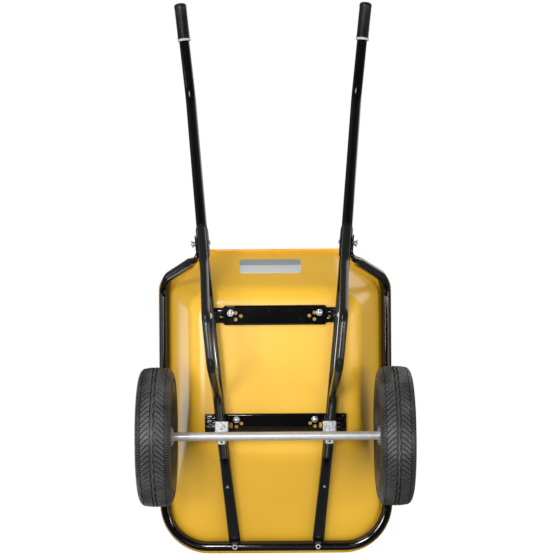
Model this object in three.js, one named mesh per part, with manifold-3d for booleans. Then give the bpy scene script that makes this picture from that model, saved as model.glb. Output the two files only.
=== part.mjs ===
// A two-wheeled builder's wheelbarrow with a pressed tray on a bent-tube frame.
// Millimetres, +Z up. The handles point to +Y and the nose to -Y, so left is +X for whoever pushes it.
// Lengths along the barrow are measured from the axle, plus towards the handles.
import * as THREE from "three";
import { mergeVertices } from "three/addons/utils/BufferGeometryUtils.js";
import Module from "manifold-3d";

const wasm = await Module();
wasm.setup();

// --- Driving dimensions ---------------------------------------------------------------------

const GAP = 0.3; // between pieces that touch

// Wheels
const TYRE_RADIUS = 200;
const TYRE_WIDTH = 100;
const WHEEL_TRACK = 680;
const WHEEL_FACETS = 32;
const TYRE_WALL = 8;
const BEAD_RADIUS = 104;
const BEAD_SPREAD = 64; // across the tyre's two beads
const RIM_SHEET = 2;
const RIM_LIP = 9; // the rim's flange stands this far above the bead
const RIM_WELL = 14; // depth of the drop centre below the bead's seat
const HUB_LENGTH = 88;
const HUB_RADIUS = 27;
const BEARING_RADIUS = 23.5;
const BEARING_WIDTH = 12;
const HUB_CLEARANCE = 6; // round the axle, between the bearings
const VALVE_RADIUS = 4;
const VALVE_OFFSET = 8; // beside the rim's web
const VALVE_TIP = 62; // how near the axle its cap comes
const INNER_TUBE_WALL = 2.5;
const INNER_TUBE_ROOM = 15; // between the inner tube and the tyre's tread, or its beads

// Axle and what holds it
const AXLE_RADIUS = 12.5;
const CLAMP_SHEET = 2.5;
const CLAMP_WIDTH = 40;
const CLAMP_REAR = 41; // its rear edge, from the axle
const CLAMP_FRONT = -24;
const CLAMP_SIDE = 14; // height of the sides that stand beside the leg tube
const WASHER_RADIUS = 21;
const WASHER_THICKNESS = 3;
const CAP_RADIUS = 18;
const CAP_LENGTH = 9;

// Frame tubes
const MAIN_RADIUS = 16;
const LEG_RADIUS = 12.5;
const RIM_TUBE_RADIUS = 15.5;
const TUBE_WALL = 1.6;
const MAIN_BEND_RADIUS = 130;
const NOSE_BEND_RADIUS = 100;
const KNEE_BEND_RADIUS = 60; // at the top of the leg
const LEG_BEND_RADIUS = 40;
const RIM_TUBE_BEND_RADIUS = 70; // at the rear corners
const HANDLE_HEIGHT = 620;
const HANDLE_END = 1310;
const HANDLE_BEND = 1017;
const REAR_BEND = 431; // where the main tube levels out under the tray
const FRONT_BEND = -64; // where it turns up along the tray's nose
const NOSE_TUBE_END = -296;
const NOSE_TUBE_CLEARANCE = 2.5; // between the climbing main tube and the tray's nose wall
const TONGUE_WIDTH = 36; // the pinched nose end of the main tube
const TONGUE_SHEET = 6;
const TONGUE_TIP_RADIUS = 11;
const HANDLE_SPREAD = 582;
const HANDLE_BEND_SPREAD = 519;
const REAR_BEND_SPREAD = 395;
const FRONT_BEND_SPREAD = 298;
const NOSE_SPREAD = 256;
const FOOT_REAR = 349;
const FOOT_FRONT = 211;
const LEG_RISER_TOP = 113;
const LEG_FRONT_END = -66;
const SADDLE_REAR = 606; // the half-round seat at the leg's top end
const SADDLE_FRONT = 503;
const SADDLE_SHEET = 2.5;
const LEG_BOLT_PLACE = 557;
const RIM_TAB_SHEET = 4; // the flattened ends of the rim tube
const RIM_TAB_HEIGHT = 26;
const RIM_TAB_LENGTH = 80;
const RIM_TAB_BEHIND = 22; // how much of it lies behind the bolt
const RIM_TUBE_DROP = 6; // it leaves the rim this far ahead of the tray's rear corner
const RIM_TUBE_END = { outward: 50, ahead: 57, up: 6 }; // its axis, from the bolt and the main tube

// Tray
const TRAY_SHEET = 1.2;
const TRAY_RIM_HEIGHT = 560;
const TRAY_RIM_HALF_WIDTH = 359;
const TRAY_RIM_REAR = 543;
const TRAY_RIM_REAR_HALF = 216; // half the straight rear edge
const TRAY_RIM_CORNER = 455; // where the slanted rear corner meets the side
const TRAY_RIM_NOSE = -397;
const TRAY_NOSE_RADIUS = 154;
const TRAY_FLOOR_HALF_WIDTH = 246;
const TRAY_FLOOR_REAR = 418;
const TRAY_FLOOR_REAR_HALF = 195;
const TRAY_FLOOR_CORNER = 380;
const TRAY_FLOOR_NOSE = -64;
const TRAY_FLOOR_NOSE_RADIUS = 140;
const TRAY_FLANGE = 34; // flat flange along the sides and the nose
const TRAY_WALL_REAR = 535; // top of the rear wall, where the flange is narrow
const TRAY_WALL_REAR_HALF = 190;
const TRAY_WALL_CORNER = 432;
const TRAY_LIP = 9; // turned-down edge of the flange
const FLOOR_BEND = 34; // how far the rounded floor edge reaches each way
const TRAY_REAR_RADIUS = 70;
const FLOOR_REAR_RADIUS = 60;
const RIM_TUBE_NOSE_INSET = 7; // the nose of the tube stands this far further in
const LABEL_WIDTH = 185;
const LABEL_HEIGHT = 107;
const LABEL_SHEET = 0.8;
const LABEL_DOWN = 66; // from the flange, along the rear wall
const LABEL_ASIDE = 13; // to the left of the tray's middle

// Cross-braces
const BRACE_DEPTH = 10;
const BRACE_SHEET = 2.5;
const REAR_BRACE_PLACE = 345;
const REAR_BRACE_WIDTH = 58;
const REAR_BRACE_BODY = 290;
const REAR_BRACE_END_WIDTH = 45;
const REAR_BRACE_LENGTH = 400;
const FRONT_BRACE_PLACE = 31;
const FRONT_BRACE_WIDTH = 55;
const FRONT_BRACE_LENGTH = 412;
const REAR_TRAY_BOLT = { x: 129.5, y: 352 };
const FRONT_TRAY_BOLT = { x: 114, y: 41 };
// Lightening holes, from the tray bolt of their brace: [further in, further back, radius]
const REAR_BRACE_HOLES = [
  [15, 0, 5.5],
  [30, -9, 5.5],
  [15, -19, 5.5],
  [-29, -11, 3.5],
];
const FRONT_BRACE_HOLES = [
  [14, -11, 5.5],
  [0, -20, 5.5],
  [-16, -20, 5],
  [-16, -13, 5],
];

// Grips
const GRIP_RADIUS = 19.5;
const GRIP_LENGTH = 112;
const GRIP_CAP = 5;
const COLLAR_RADIUS = 20.8;
const COLLAR_LENGTH = 7;

// Fasteners
const BOLT_RADIUS = 4;
const BOLT_HOLE_RADIUS = BOLT_RADIUS + GAP;
const HEAD_RADIUS = 7.5;
const HEAD_HEIGHT = 5.5;
const DOME_RADIUS = 8.5;
const DOME_HEIGHT = 7;
const WING_BARREL_LENGTH = 9;
const WING_SPAN = 30;
const WING_SHEET = 4;
const WING_TURN = 0.6; // how far round the wing nut came to rest

// --- Sizes that follow from those -----------------------------------------------------------

const AXLE_HEIGHT = TYRE_RADIUS * Math.cos(Math.PI / WHEEL_FACETS);
const LEG_LEVEL = AXLE_HEIGHT + AXLE_RADIUS + CLAMP_SHEET + 2 * GAP + LEG_RADIUS;
const CHASSIS_HEIGHT = LEG_LEVEL + LEG_RADIUS + GAP + MAIN_RADIUS;
const BRACE_BOTTOM = CHASSIS_HEIGHT + MAIN_RADIUS + GAP;
const TRAY_FLOOR_HEIGHT = BRACE_BOTTOM + BRACE_DEPTH + GAP;
const FLANGE_UNDERSIDE = TRAY_RIM_HEIGHT - TRAY_SHEET;
const RIM_TUBE_HEIGHT = FLANGE_UNDERSIDE - GAP - RIM_TUBE_RADIUS;
const RIM_TUBE_INSET = TRAY_SHEET + GAP + RIM_TUBE_RADIUS;
const TONGUE_TOP = RIM_TUBE_HEIGHT - RIM_TUBE_RADIUS - GAP;
const NOSE_BAR = TRAY_RIM_NOSE + RIM_TUBE_INSET + RIM_TUBE_NOSE_INSET;
const NOSE_WALL_END = TRAY_RIM_NOSE + TRAY_FLANGE;
const NOSE_WALL_SLOPE = Math.atan2(FLANGE_UNDERSIDE - TRAY_FLOOR_HEIGHT, TRAY_FLOOR_NOSE - NOSE_WALL_END);
const NOSE_TUBE_TOP =
  TRAY_FLOOR_HEIGHT +
  (TRAY_FLOOR_NOSE - NOSE_TUBE_END) * Math.tan(NOSE_WALL_SLOPE) -
  (MAIN_RADIUS + NOSE_TUBE_CLEARANCE) / Math.cos(NOSE_WALL_SLOPE);
const TONGUE_START = NOSE_TUBE_END + 14;
const TONGUE_LEVEL_START = NOSE_BAR + RIM_TUBE_RADIUS + 7;
const WHEEL_MIDDLE = WHEEL_TRACK / 2;
const HUB_FACE = WHEEL_MIDDLE + HUB_LENGTH / 2;
const AXLE_LENGTH = 2 * (HUB_FACE + GAP + WASHER_THICKNESS + CAP_LENGTH / 2);
const INNER_TUBE_MIDDLE = (TYRE_RADIUS + BEAD_RADIUS) / 2 - 2;
const INNER_TUBE_REACH = (TYRE_RADIUS - BEAD_RADIUS) / 2 - INNER_TUBE_ROOM;
const GRIP_BORE = MAIN_RADIUS + GAP;
const HANDLE_SLOPE = Math.atan2(HANDLE_HEIGHT - CHASSIS_HEIGHT, HANDLE_BEND - REAR_BEND);

// --- Finishes -------------------------------------------------------------------------------

function finish(color, roughness, metalness) {
  return new THREE.MeshStandardMaterial({ color, roughness, metalness });
}

const FINISHES = {
  yellowPaint: finish(0xf0b428, 0.3, 0),
  blackPaint: finish(0x15161a, 0.25, 0),
  zinc: finish(0xb9bcc0, 0.45, 0.9),
  brightSteel: finish(0xd4d6d8, 0.3, 1),
  blackRubber: finish(0x1b1b1c, 0.7, 0),
  tyreRubber: finish(0x202123, 0.8, 0),
  palePlastic: finish(0xc9cacc, 0.5, 0),
  rimPaint: finish(0x1c1d20, 0.4, 0),
  silverFoil: finish(0xc3c6c8, 0.35, 0.6),
};

// --- Solid helpers --------------------------------------------------------------------------

function solidFrom(geometry) {
  const bare = geometry.index ? geometry.toNonIndexed() : geometry.clone();
  bare.deleteAttribute("normal");
  bare.deleteAttribute("uv");
  const merged = mergeVertices(bare, 1e-3);
  return new wasm.Manifold(
    new wasm.Mesh({
      numProp: 3,
      vertProperties: merged.attributes.position.array,
      triVerts: new Uint32Array(merged.index.array),
    }),
  );
}

function geometryFrom(solid) {
  const mesh = solid.getMesh();
  const geometry = new THREE.BufferGeometry();
  geometry.setAttribute("position", new THREE.BufferAttribute(mesh.vertProperties, 3));
  geometry.setIndex(new THREE.BufferAttribute(mesh.triVerts, 1));
  geometry.computeVertexNormals();
  return geometry;
}

function joined(...geometries) {
  return geometryFrom(geometries.map(solidFrom).reduce((whole, piece) => whole.add(piece)));
}

function cut(geometry, ...cutters) {
  const whole = solidFrom(geometry);
  return geometryFrom(cutters.map(solidFrom).reduce((rest, tool) => rest.subtract(tool), whole));
}

function namedMesh(name, geometry, material) {
  const mesh = new THREE.Mesh(geometry, material);
  mesh.name = name;
  return mesh;
}

// A cylinder along X, Y or Z with its middle at a point.
function rod(axis, radius, length, middle, facets = 12) {
  const geometry = new THREE.CylinderGeometry(radius, radius, length, facets);
  if (axis === "x") geometry.rotateZ(Math.PI / 2);
  if (axis === "z") geometry.rotateX(Math.PI / 2);
  return geometry.translate(middle.x, middle.y, middle.z);
}

function box(width, depth, height, x, y, z) {
  return new THREE.BoxGeometry(width, depth, height).translate(x, y, z);
}

// --- Bent tubes -----------------------------------------------------------------------------

const BEND_STEP = Math.PI / 12;
const TUBE_SIDES = 10;
const BORE_SIDES = 6;

// A path that runs through given stations, with a section set at each of them.
class StationPath extends THREE.Curve {
  constructor(stations) {
    super();
    this.stations = stations;
  }

  index(share) {
    return Math.round(share * (this.stations.length - 1));
  }

  getPointAt(share) {
    return this.stations[this.index(share)].clone();
  }

  getTangentAt(share) {
    const here = this.index(share);
    const last = this.stations.length - 1;
    const tangent = new THREE.Vector3();
    for (const from of [here - 1, here]) {
      if (from < 0 || from >= last) continue;
      tangent.add(this.stations[from + 1].clone().sub(this.stations[from]).normalize());
    }
    return tangent.normalize();
  }
}

// Stations of a path with straight runs and round bends; each corner is { at, radius }.
function bentPath(corners) {
  const stations = [corners[0].at.clone()];
  for (let i = 1; i < corners.length - 1; i++) {
    const { at, radius } = corners[i];
    const back = corners[i - 1].at.clone().sub(at).normalize();
    const ahead = corners[i + 1].at.clone().sub(at).normalize();
    const turn = Math.PI - back.angleTo(ahead);
    const start = at.clone().addScaledVector(back, radius * Math.tan(turn / 2));
    const inward = back.clone().add(ahead).normalize();
    const middle = at.clone().addScaledVector(inward, radius / Math.cos(turn / 2));
    const axis = new THREE.Vector3().crossVectors(ahead, back).normalize();
    const steps = Math.max(1, Math.ceil(turn / BEND_STEP));
    for (let k = 0; k <= steps; k++) {
      stations.push(start.clone().sub(middle).applyAxisAngle(axis, (turn * k) / steps).add(middle));
    }
  }
  stations.push(corners.at(-1).at.clone());
  return new StationPath(stations);
}

function ringOutline(radius, sides) {
  const points = [];
  for (let i = 0; i < sides; i++) {
    const angle = ((i + 0.5) * 2 * Math.PI) / sides;
    points.push(new THREE.Vector2(radius * Math.cos(angle), radius * Math.sin(angle)));
  }
  return points;
}

function hollowTube(corners, radius, wall = TUBE_WALL) {
  const path = bentPath(corners);
  const section = new THREE.Shape(ringOutline(radius, TUBE_SIDES));
  section.holes.push(new THREE.Path(ringOutline(radius - wall, BORE_SIDES)));
  return new THREE.ExtrudeGeometry(section, { steps: path.stations.length - 1, extrudePath: path });
}

function corner(x, y, z, radius = 0) {
  return { at: new THREE.Vector3(x, y, z), radius };
}

// --- Plan line of the frame rails -----------------------------------------------------------

const PLAN_LINE = [
  [HANDLE_END, HANDLE_SPREAD / 2],
  [HANDLE_BEND, HANDLE_BEND_SPREAD / 2],
  [REAR_BEND, REAR_BEND_SPREAD / 2],
  [FRONT_BEND, FRONT_BEND_SPREAD / 2],
  [NOSE_BAR, NOSE_SPREAD / 2],
];

// Half the spread of the rails at a place along the barrow.
function railHalf(y) {
  const after = Math.min(Math.max(1, PLAN_LINE.findIndex(([place]) => place <= y)), PLAN_LINE.length - 1);
  const [y0, x0] = PLAN_LINE[after - 1];
  const [y1, x1] = PLAN_LINE[after];
  return x0 + ((x1 - x0) * (y - y0)) / (y1 - y0);
}

function railTurn(y) {
  return Math.atan2(railHalf(y + 1) - railHalf(y), 1);
}

// Height of the main tube's axis on its slope up to the handles.
function slopeHeight(y) {
  return CHASSIS_HEIGHT + (y - REAR_BEND) * Math.tan(HANDLE_SLOPE);
}

// --- Frame ----------------------------------------------------------------------------------

const LEG_BOLT_HEIGHT = slopeHeight(LEG_BOLT_PLACE);
const LEG_BOLT_HOLE = rod(
  "x",
  BOLT_HOLE_RADIUS,
  4 * MAIN_RADIUS + 40,
  new THREE.Vector3(railHalf(LEG_BOLT_PLACE), LEG_BOLT_PLACE, LEG_BOLT_HEIGHT),
);

function uprightHole(x, y, radius = BOLT_HOLE_RADIUS) {
  return rod("z", radius, 2 * TRAY_RIM_HEIGHT, new THREE.Vector3(x, y, 0));
}

// The main tube's pinched nose end: a tongue that climbs with the tube, then lies flat under the bar.
function noseTongue() {
  const rise = TONGUE_TOP - TONGUE_SHEET - (NOSE_TUBE_TOP - (TONGUE_START - NOSE_TUBE_END) - 3);
  const side = new THREE.Shape();
  side.moveTo(TONGUE_START, TONGUE_TOP - TONGUE_SHEET - rise);
  side.lineTo(TONGUE_LEVEL_START, TONGUE_TOP - TONGUE_SHEET);
  side.lineTo(TONGUE_LEVEL_START - 16, TONGUE_TOP - TONGUE_SHEET);
  side.lineTo(TONGUE_LEVEL_START - 16, TONGUE_TOP);
  side.lineTo(TONGUE_LEVEL_START - 3, TONGUE_TOP);
  side.lineTo(TONGUE_START - 3, TONGUE_TOP - rise);
  side.closePath();
  const climb = new THREE.ExtrudeGeometry(side, { depth: TONGUE_WIDTH, bevelEnabled: false });
  climb.translate(0, 0, -TONGUE_WIDTH / 2);
  // The side outline is drawn in (y, z), so it is turned upright across the barrow.
  climb.applyMatrix4(new THREE.Matrix4().set(0, 0, 1, 0, 1, 0, 0, 0, 0, 1, 0, 0, 0, 0, 0, 1));
  const tip = new THREE.Shape();
  tip.moveTo(-TONGUE_WIDTH / 2, TONGUE_LEVEL_START - 8);
  tip.lineTo(-TONGUE_TIP_RADIUS, NOSE_BAR);
  tip.absarc(0, NOSE_BAR, TONGUE_TIP_RADIUS, Math.PI, 2 * Math.PI);
  tip.lineTo(TONGUE_WIDTH / 2, TONGUE_LEVEL_START - 8);
  tip.closePath();
  const flat = new THREE.ExtrudeGeometry(tip, { depth: TONGUE_SHEET, bevelEnabled: false, curveSegments: 6 });
  flat.translate(0, 0, TONGUE_TOP - TONGUE_SHEET);
  return joined(climb, flat).translate(NOSE_SPREAD / 2, 0, 0);
}

function mainTube() {
  const tube = hollowTube(
    [
      corner(HANDLE_SPREAD / 2, HANDLE_END, HANDLE_HEIGHT),
      corner(HANDLE_BEND_SPREAD / 2, HANDLE_BEND, HANDLE_HEIGHT, MAIN_BEND_RADIUS),
      corner(REAR_BEND_SPREAD / 2, REAR_BEND, CHASSIS_HEIGHT, MAIN_BEND_RADIUS),
      corner(FRONT_BEND_SPREAD / 2, FRONT_BEND, CHASSIS_HEIGHT, NOSE_BEND_RADIUS),
      corner(railHalf(NOSE_TUBE_END), NOSE_TUBE_END, NOSE_TUBE_TOP),
    ],
    MAIN_RADIUS,
  );
  return cut(
    joined(tube, noseTongue()),
    LEG_BOLT_HOLE,
    uprightHole(NOSE_SPREAD / 2, NOSE_BAR),
    uprightHole(railHalf(FRONT_BRACE_PLACE), FRONT_BRACE_PLACE),
    uprightHole(railHalf(REAR_BRACE_PLACE), REAR_BRACE_PLACE),
  );
}

// The half-round seat at the top of the leg that cups the main tube from below.
function legSaddle() {
  const inner = MAIN_RADIUS + GAP;
  const outer = inner + SADDLE_SHEET;
  const seat = new THREE.Shape();
  seat.absarc(0, 0, outer, Math.PI, 2 * Math.PI);
  seat.absarc(0, 0, inner, 2 * Math.PI, Math.PI, true);
  seat.closePath();
  const length = (SADDLE_REAR - SADDLE_FRONT) / Math.cos(HANDLE_SLOPE);
  const geometry = new THREE.ExtrudeGeometry(seat, { depth: length, bevelEnabled: false, curveSegments: 10 });
  const start = new THREE.Vector3(railHalf(SADDLE_FRONT), SADDLE_FRONT, slopeHeight(SADDLE_FRONT));
  const end = new THREE.Vector3(railHalf(SADDLE_REAR), SADDLE_REAR, slopeHeight(SADDLE_REAR));
  const along = end.sub(start).normalize();
  const across = new THREE.Vector3(0, 0, 1).cross(along).normalize();
  const up = along.clone().cross(across);
  geometry.applyMatrix4(new THREE.Matrix4().makeBasis(across, up, along));
  return geometry.translate(start.x, start.y, start.z);
}

function legTube() {
  const offset = MAIN_RADIUS + GAP + LEG_RADIUS;
  const slopeLeg = (y) => slopeHeight(y) - offset / Math.cos(HANDLE_SLOPE);
  const topEnd = SADDLE_REAR - 20 + offset * Math.sin(HANDLE_SLOPE);
  const knee = SADDLE_FRONT - 20 + offset * Math.sin(HANDLE_SLOPE);
  const tube = hollowTube(
    [
      corner(railHalf(topEnd), topEnd, slopeLeg(topEnd)),
      corner(railHalf(knee), knee, slopeLeg(knee), KNEE_BEND_RADIUS),
      corner(railHalf(FOOT_REAR), FOOT_REAR, LEG_RADIUS, LEG_BEND_RADIUS),
      corner(railHalf(FOOT_FRONT), FOOT_FRONT, LEG_RADIUS, LEG_BEND_RADIUS),
      corner(railHalf(LEG_RISER_TOP), LEG_RISER_TOP, LEG_LEVEL, LEG_BEND_RADIUS),
      corner(railHalf(LEG_FRONT_END), LEG_FRONT_END, LEG_LEVEL),
    ],
    LEG_RADIUS,
  );
  return cut(
    joined(tube, legSaddle()),
    LEG_BOLT_HOLE,
    uprightHole(railHalf(FRONT_BRACE_PLACE), FRONT_BRACE_PLACE),
  );
}

// The flattened end of the rim tube, which lies along the outside of the leg's saddle.
function rimTab() {
  const clearance = MAIN_RADIUS + GAP + SADDLE_SHEET + GAP + RIM_TAB_SHEET / 2;
  const end = RIM_TAB_BEHIND - RIM_TAB_LENGTH;
  const middle = RIM_TAB_BEHIND - RIM_TAB_LENGTH / 2;
  const strip = box(RIM_TAB_SHEET, RIM_TAB_LENGTH, RIM_TAB_HEIGHT, clearance, middle, -4);
  const neck = box(34, 9, RIM_TAB_HEIGHT, clearance + 15, end + 4, -4);
  return joined(strip, neck)
    .rotateX(HANDLE_SLOPE)
    .rotateZ(-railTurn(LEG_BOLT_PLACE))
    .translate(railHalf(LEG_BOLT_PLACE), LEG_BOLT_PLACE, LEG_BOLT_HEIGHT);
}

function rimTube() {
  const side = TRAY_RIM_HALF_WIDTH - RIM_TUBE_INSET;
  const noseRadius = TRAY_NOSE_RADIUS - RIM_TUBE_INSET;
  const endX = railHalf(LEG_BOLT_PLACE) + RIM_TUBE_END.outward;
  const endY = LEG_BOLT_PLACE - RIM_TUBE_END.ahead;
  const endZ = slopeHeight(endY) + RIM_TUBE_END.up;
  const half = [
    corner(endX, endY, endZ),
    corner(side, TRAY_RIM_CORNER - RIM_TUBE_DROP, RIM_TUBE_HEIGHT, RIM_TUBE_BEND_RADIUS),
    corner(side, NOSE_BAR, RIM_TUBE_HEIGHT, noseRadius),
  ];
  const mirrored = half.toReversed().map(({ at, radius }) => corner(-at.x, at.y, at.z, radius));
  const tab = rimTab();
  const otherTab = tab.clone().applyMatrix4(MIRROR);
  turnFaces(otherTab);
  const otherHole = LEG_BOLT_HOLE.clone().translate(-2 * railHalf(LEG_BOLT_PLACE), 0, 0);
  return cut(
    joined(hollowTube([...half, ...mirrored], RIM_TUBE_RADIUS), tab, otherTab),
    LEG_BOLT_HOLE,
    otherHole,
    uprightHole(NOSE_SPREAD / 2, NOSE_BAR),
    uprightHole(-NOSE_SPREAD / 2, NOSE_BAR),
  );
}

const MIRROR = new THREE.Matrix4().makeScale(-1, 1, 1);

function turnFaces(geometry) {
  const order = geometry.index.array;
  for (let i = 0; i < order.length; i += 3) {
    [order[i + 1], order[i + 2]] = [order[i + 2], order[i + 1]];
  }
}

// A pressed channel: a flat web on the rails and two sides that stand up to the tray.
function braceChannel(place, outline, holes) {
  const web = new THREE.ExtrudeGeometry(outline, { depth: BRACE_SHEET, bevelEnabled: false });
  const core = new THREE.ExtrudeGeometry(outline, { depth: BRACE_DEPTH, bevelEnabled: false });
  const hollow = new THREE.Shape(
    outline.getPoints().map((p) => {
      const shrink = (value) => Math.sign(value) * Math.max(0, Math.abs(value) - BRACE_SHEET);
      return new THREE.Vector2(p.x * 1.1, shrink(p.y));
    }),
  );
  const inside = new THREE.ExtrudeGeometry(hollow, { depth: BRACE_DEPTH, bevelEnabled: false });
  inside.translate(0, 0, BRACE_SHEET);
  const channel = joined(web, cut(core, inside));
  return cut(channel.translate(0, place, BRACE_BOTTOM), ...holes);
}

function steppedOutline(length, body, width, endWidth) {
  const taper = (width - endWidth) / 2;
  const quarter = [
    [length / 2, endWidth / 2],
    [body / 2 + taper, endWidth / 2],
    [body / 2, width / 2],
  ];
  const half = [...quarter, ...quarter.toReversed().map(([x, y]) => [-x, y])];
  const points = [...half, ...half.toReversed().map(([x, y]) => [x, -y])];
  return new THREE.Shape(points.map(([x, y]) => new THREE.Vector2(x, y)));
}

function pairOfHoles(x, y, radius) {
  return [uprightHole(x, y, radius), uprightHole(-x, y, radius)];
}

function braceHoles(bolt, holes) {
  const places = [[0, 0, BOLT_HOLE_RADIUS], ...holes];
  return places.flatMap(([inward, back, radius]) => pairOfHoles(bolt.x - inward, bolt.y + back, radius));
}

function rearBrace() {
  const outline = steppedOutline(REAR_BRACE_LENGTH, REAR_BRACE_BODY, REAR_BRACE_WIDTH, REAR_BRACE_END_WIDTH);
  return braceChannel(REAR_BRACE_PLACE, outline, [
    ...braceHoles(REAR_TRAY_BOLT, REAR_BRACE_HOLES),
    ...pairOfHoles(railHalf(REAR_BRACE_PLACE), REAR_BRACE_PLACE, BOLT_HOLE_RADIUS),
  ]);
}

function frontBrace() {
  const outline = steppedOutline(
    FRONT_BRACE_LENGTH,
    FRONT_BRACE_LENGTH / 2,
    FRONT_BRACE_WIDTH,
    FRONT_BRACE_WIDTH - 1,
  );
  return braceChannel(FRONT_BRACE_PLACE, outline, [
    ...braceHoles(FRONT_TRAY_BOLT, FRONT_BRACE_HOLES),
    ...pairOfHoles(railHalf(FRONT_BRACE_PLACE), FRONT_BRACE_PLACE, BOLT_HOLE_RADIUS),
  ]);
}

// --- Tray -----------------------------------------------------------------------------------

const CORNER_STEPS = 5;

// Six-cornered outline, straight at the rear, slanted at its rear corners and round at its nose.
function trayOutline({ half, rear, rearHalf, cornerAt, nose, noseRadius, rearRadius }) {
  const right = [
    corner(rearHalf, rear, 0, rearRadius),
    corner(half, cornerAt, 0, rearRadius),
    corner(half, nose, 0, noseRadius),
  ];
  const left = right.toReversed().map(({ at, radius }) => corner(-at.x, at.y, 0, radius));
  const corners = [...right, ...left];
  return corners.flatMap(({ at, radius }, i) => {
    const before = corners[(i + corners.length - 1) % corners.length].at;
    const after = corners[(i + 1) % corners.length].at;
    const back = before.clone().sub(at).normalize();
    const ahead = after.clone().sub(at).normalize();
    const turn = Math.PI - back.angleTo(ahead);
    const start = at.clone().addScaledVector(back, radius * Math.tan(turn / 2));
    const inward = back.clone().add(ahead).normalize();
    const middle = at.clone().addScaledVector(inward, radius / Math.cos(turn / 2));
    const arc = [];
    for (let k = 0; k <= CORNER_STEPS; k++) {
      const swing = -(turn * k) / CORNER_STEPS;
      arc.push(start.clone().sub(middle).applyAxisAngle(new THREE.Vector3(0, 0, 1), swing).add(middle));
    }
    return arc;
  });
}

const RIM_OUTLINE = {
  half: TRAY_RIM_HALF_WIDTH,
  rear: TRAY_RIM_REAR,
  rearHalf: TRAY_RIM_REAR_HALF,
  cornerAt: TRAY_RIM_CORNER,
  nose: TRAY_RIM_NOSE,
  noseRadius: TRAY_NOSE_RADIUS,
  rearRadius: TRAY_REAR_RADIUS,
};

const FLOOR_OUTLINE = {
  half: TRAY_FLOOR_HALF_WIDTH,
  rear: TRAY_FLOOR_REAR,
  rearHalf: TRAY_FLOOR_REAR_HALF,
  cornerAt: TRAY_FLOOR_CORNER,
  nose: TRAY_FLOOR_NOSE,
  noseRadius: TRAY_FLOOR_NOSE_RADIUS,
  rearRadius: FLOOR_REAR_RADIUS,
};

function inset(outline, by) {
  return {
    half: outline.half - by,
    rear: outline.rear - by,
    rearHalf: outline.rearHalf - by / 2,
    cornerAt: outline.cornerAt - by / 2,
    nose: outline.nose + by,
    noseRadius: outline.noseRadius - by,
    rearRadius: outline.rearRadius - by / 2,
  };
}

const WALL_TOP_OUTLINE = {
  ...inset(RIM_OUTLINE, TRAY_FLANGE),
  rear: TRAY_WALL_REAR,
  rearHalf: TRAY_WALL_REAR_HALF,
  cornerAt: TRAY_WALL_CORNER,
};

function ringAt(outline, height) {
  const ring = trayOutline(outline);
  ring.forEach((point) => point.setZ(height));
  return ring;
}

// One face of the tray from the floor to the top of the wall, with a rounded edge between them.
function bowlRings(floorOutline, floorHeight, wallTopOutline, wallTopHeight) {
  const floor = ringAt(floorOutline, floorHeight);
  const wallTop = ringAt(wallTopOutline, wallTopHeight);
  const middle = new THREE.Vector3(0, (TRAY_FLOOR_REAR + TRAY_FLOOR_NOSE) / 2, floorHeight);
  const bend = (share) =>
    floor.map((point, i) => {
      const inner = point.clone().add(middle.clone().sub(point).setLength(FLOOR_BEND));
      const upper = point.clone().add(wallTop[i].clone().sub(point).setLength(FLOOR_BEND));
      return new THREE.QuadraticBezierCurve3(inner, point, upper).getPoint(share);
    });
  return [bend(0), bend(1 / 3), bend(2 / 3), bend(1), wallTop];
}

// The closed skin over a row of rings, with a flat fan over the first and the last.
function skinOver(rings) {
  const corners = [];
  const face = (...points) => points.forEach((point) => corners.push(point.x, point.y, point.z));
  const count = rings[0].length;
  const fan = (ring, turned) => {
    const middle = new THREE.Vector3(0, (TRAY_FLOOR_REAR + TRAY_FLOOR_NOSE) / 2, ring[0].z);
    ring.forEach((point, i) => {
      const next = ring[(i + 1) % count];
      if (turned) face(middle, next, point);
      else face(middle, point, next);
    });
  };
  for (let level = 0; level + 1 < rings.length; level++) {
    for (let i = 0; i < count; i++) {
      const next = (i + 1) % count;
      face(rings[level][i], rings[level + 1][next], rings[level][next]);
      face(rings[level][i], rings[level + 1][i], rings[level + 1][next]);
    }
  }
  fan(rings[0], false);
  fan(rings.at(-1), true);
  const geometry = new THREE.BufferGeometry();
  geometry.setAttribute("position", new THREE.Float32BufferAttribute(corners, 3));
  return geometry;
}

function tray() {
  const lipInside = inset(RIM_OUTLINE, TRAY_SHEET);
  const lipBottom = FLANGE_UNDERSIDE - TRAY_LIP;
  const outside = bowlRings(FLOOR_OUTLINE, TRAY_FLOOR_HEIGHT, WALL_TOP_OUTLINE, FLANGE_UNDERSIDE);
  const inside = bowlRings(
    inset(FLOOR_OUTLINE, TRAY_SHEET),
    TRAY_FLOOR_HEIGHT + TRAY_SHEET,
    inset(WALL_TOP_OUTLINE, 1.2 * TRAY_SHEET),
    TRAY_RIM_HEIGHT,
  );
  const rings = [
    ...outside,
    ringAt(lipInside, FLANGE_UNDERSIDE),
    ringAt(lipInside, lipBottom),
    ringAt(RIM_OUTLINE, lipBottom),
    ringAt(RIM_OUTLINE, TRAY_RIM_HEIGHT),
    ...inside.toReversed(),
  ];
  return cut(
    skinOver(rings),
    ...pairOfHoles(REAR_TRAY_BOLT.x, REAR_TRAY_BOLT.y, BOLT_HOLE_RADIUS),
    ...pairOfHoles(FRONT_TRAY_BOLT.x, FRONT_TRAY_BOLT.y, BOLT_HOLE_RADIUS),
  );
}

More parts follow.
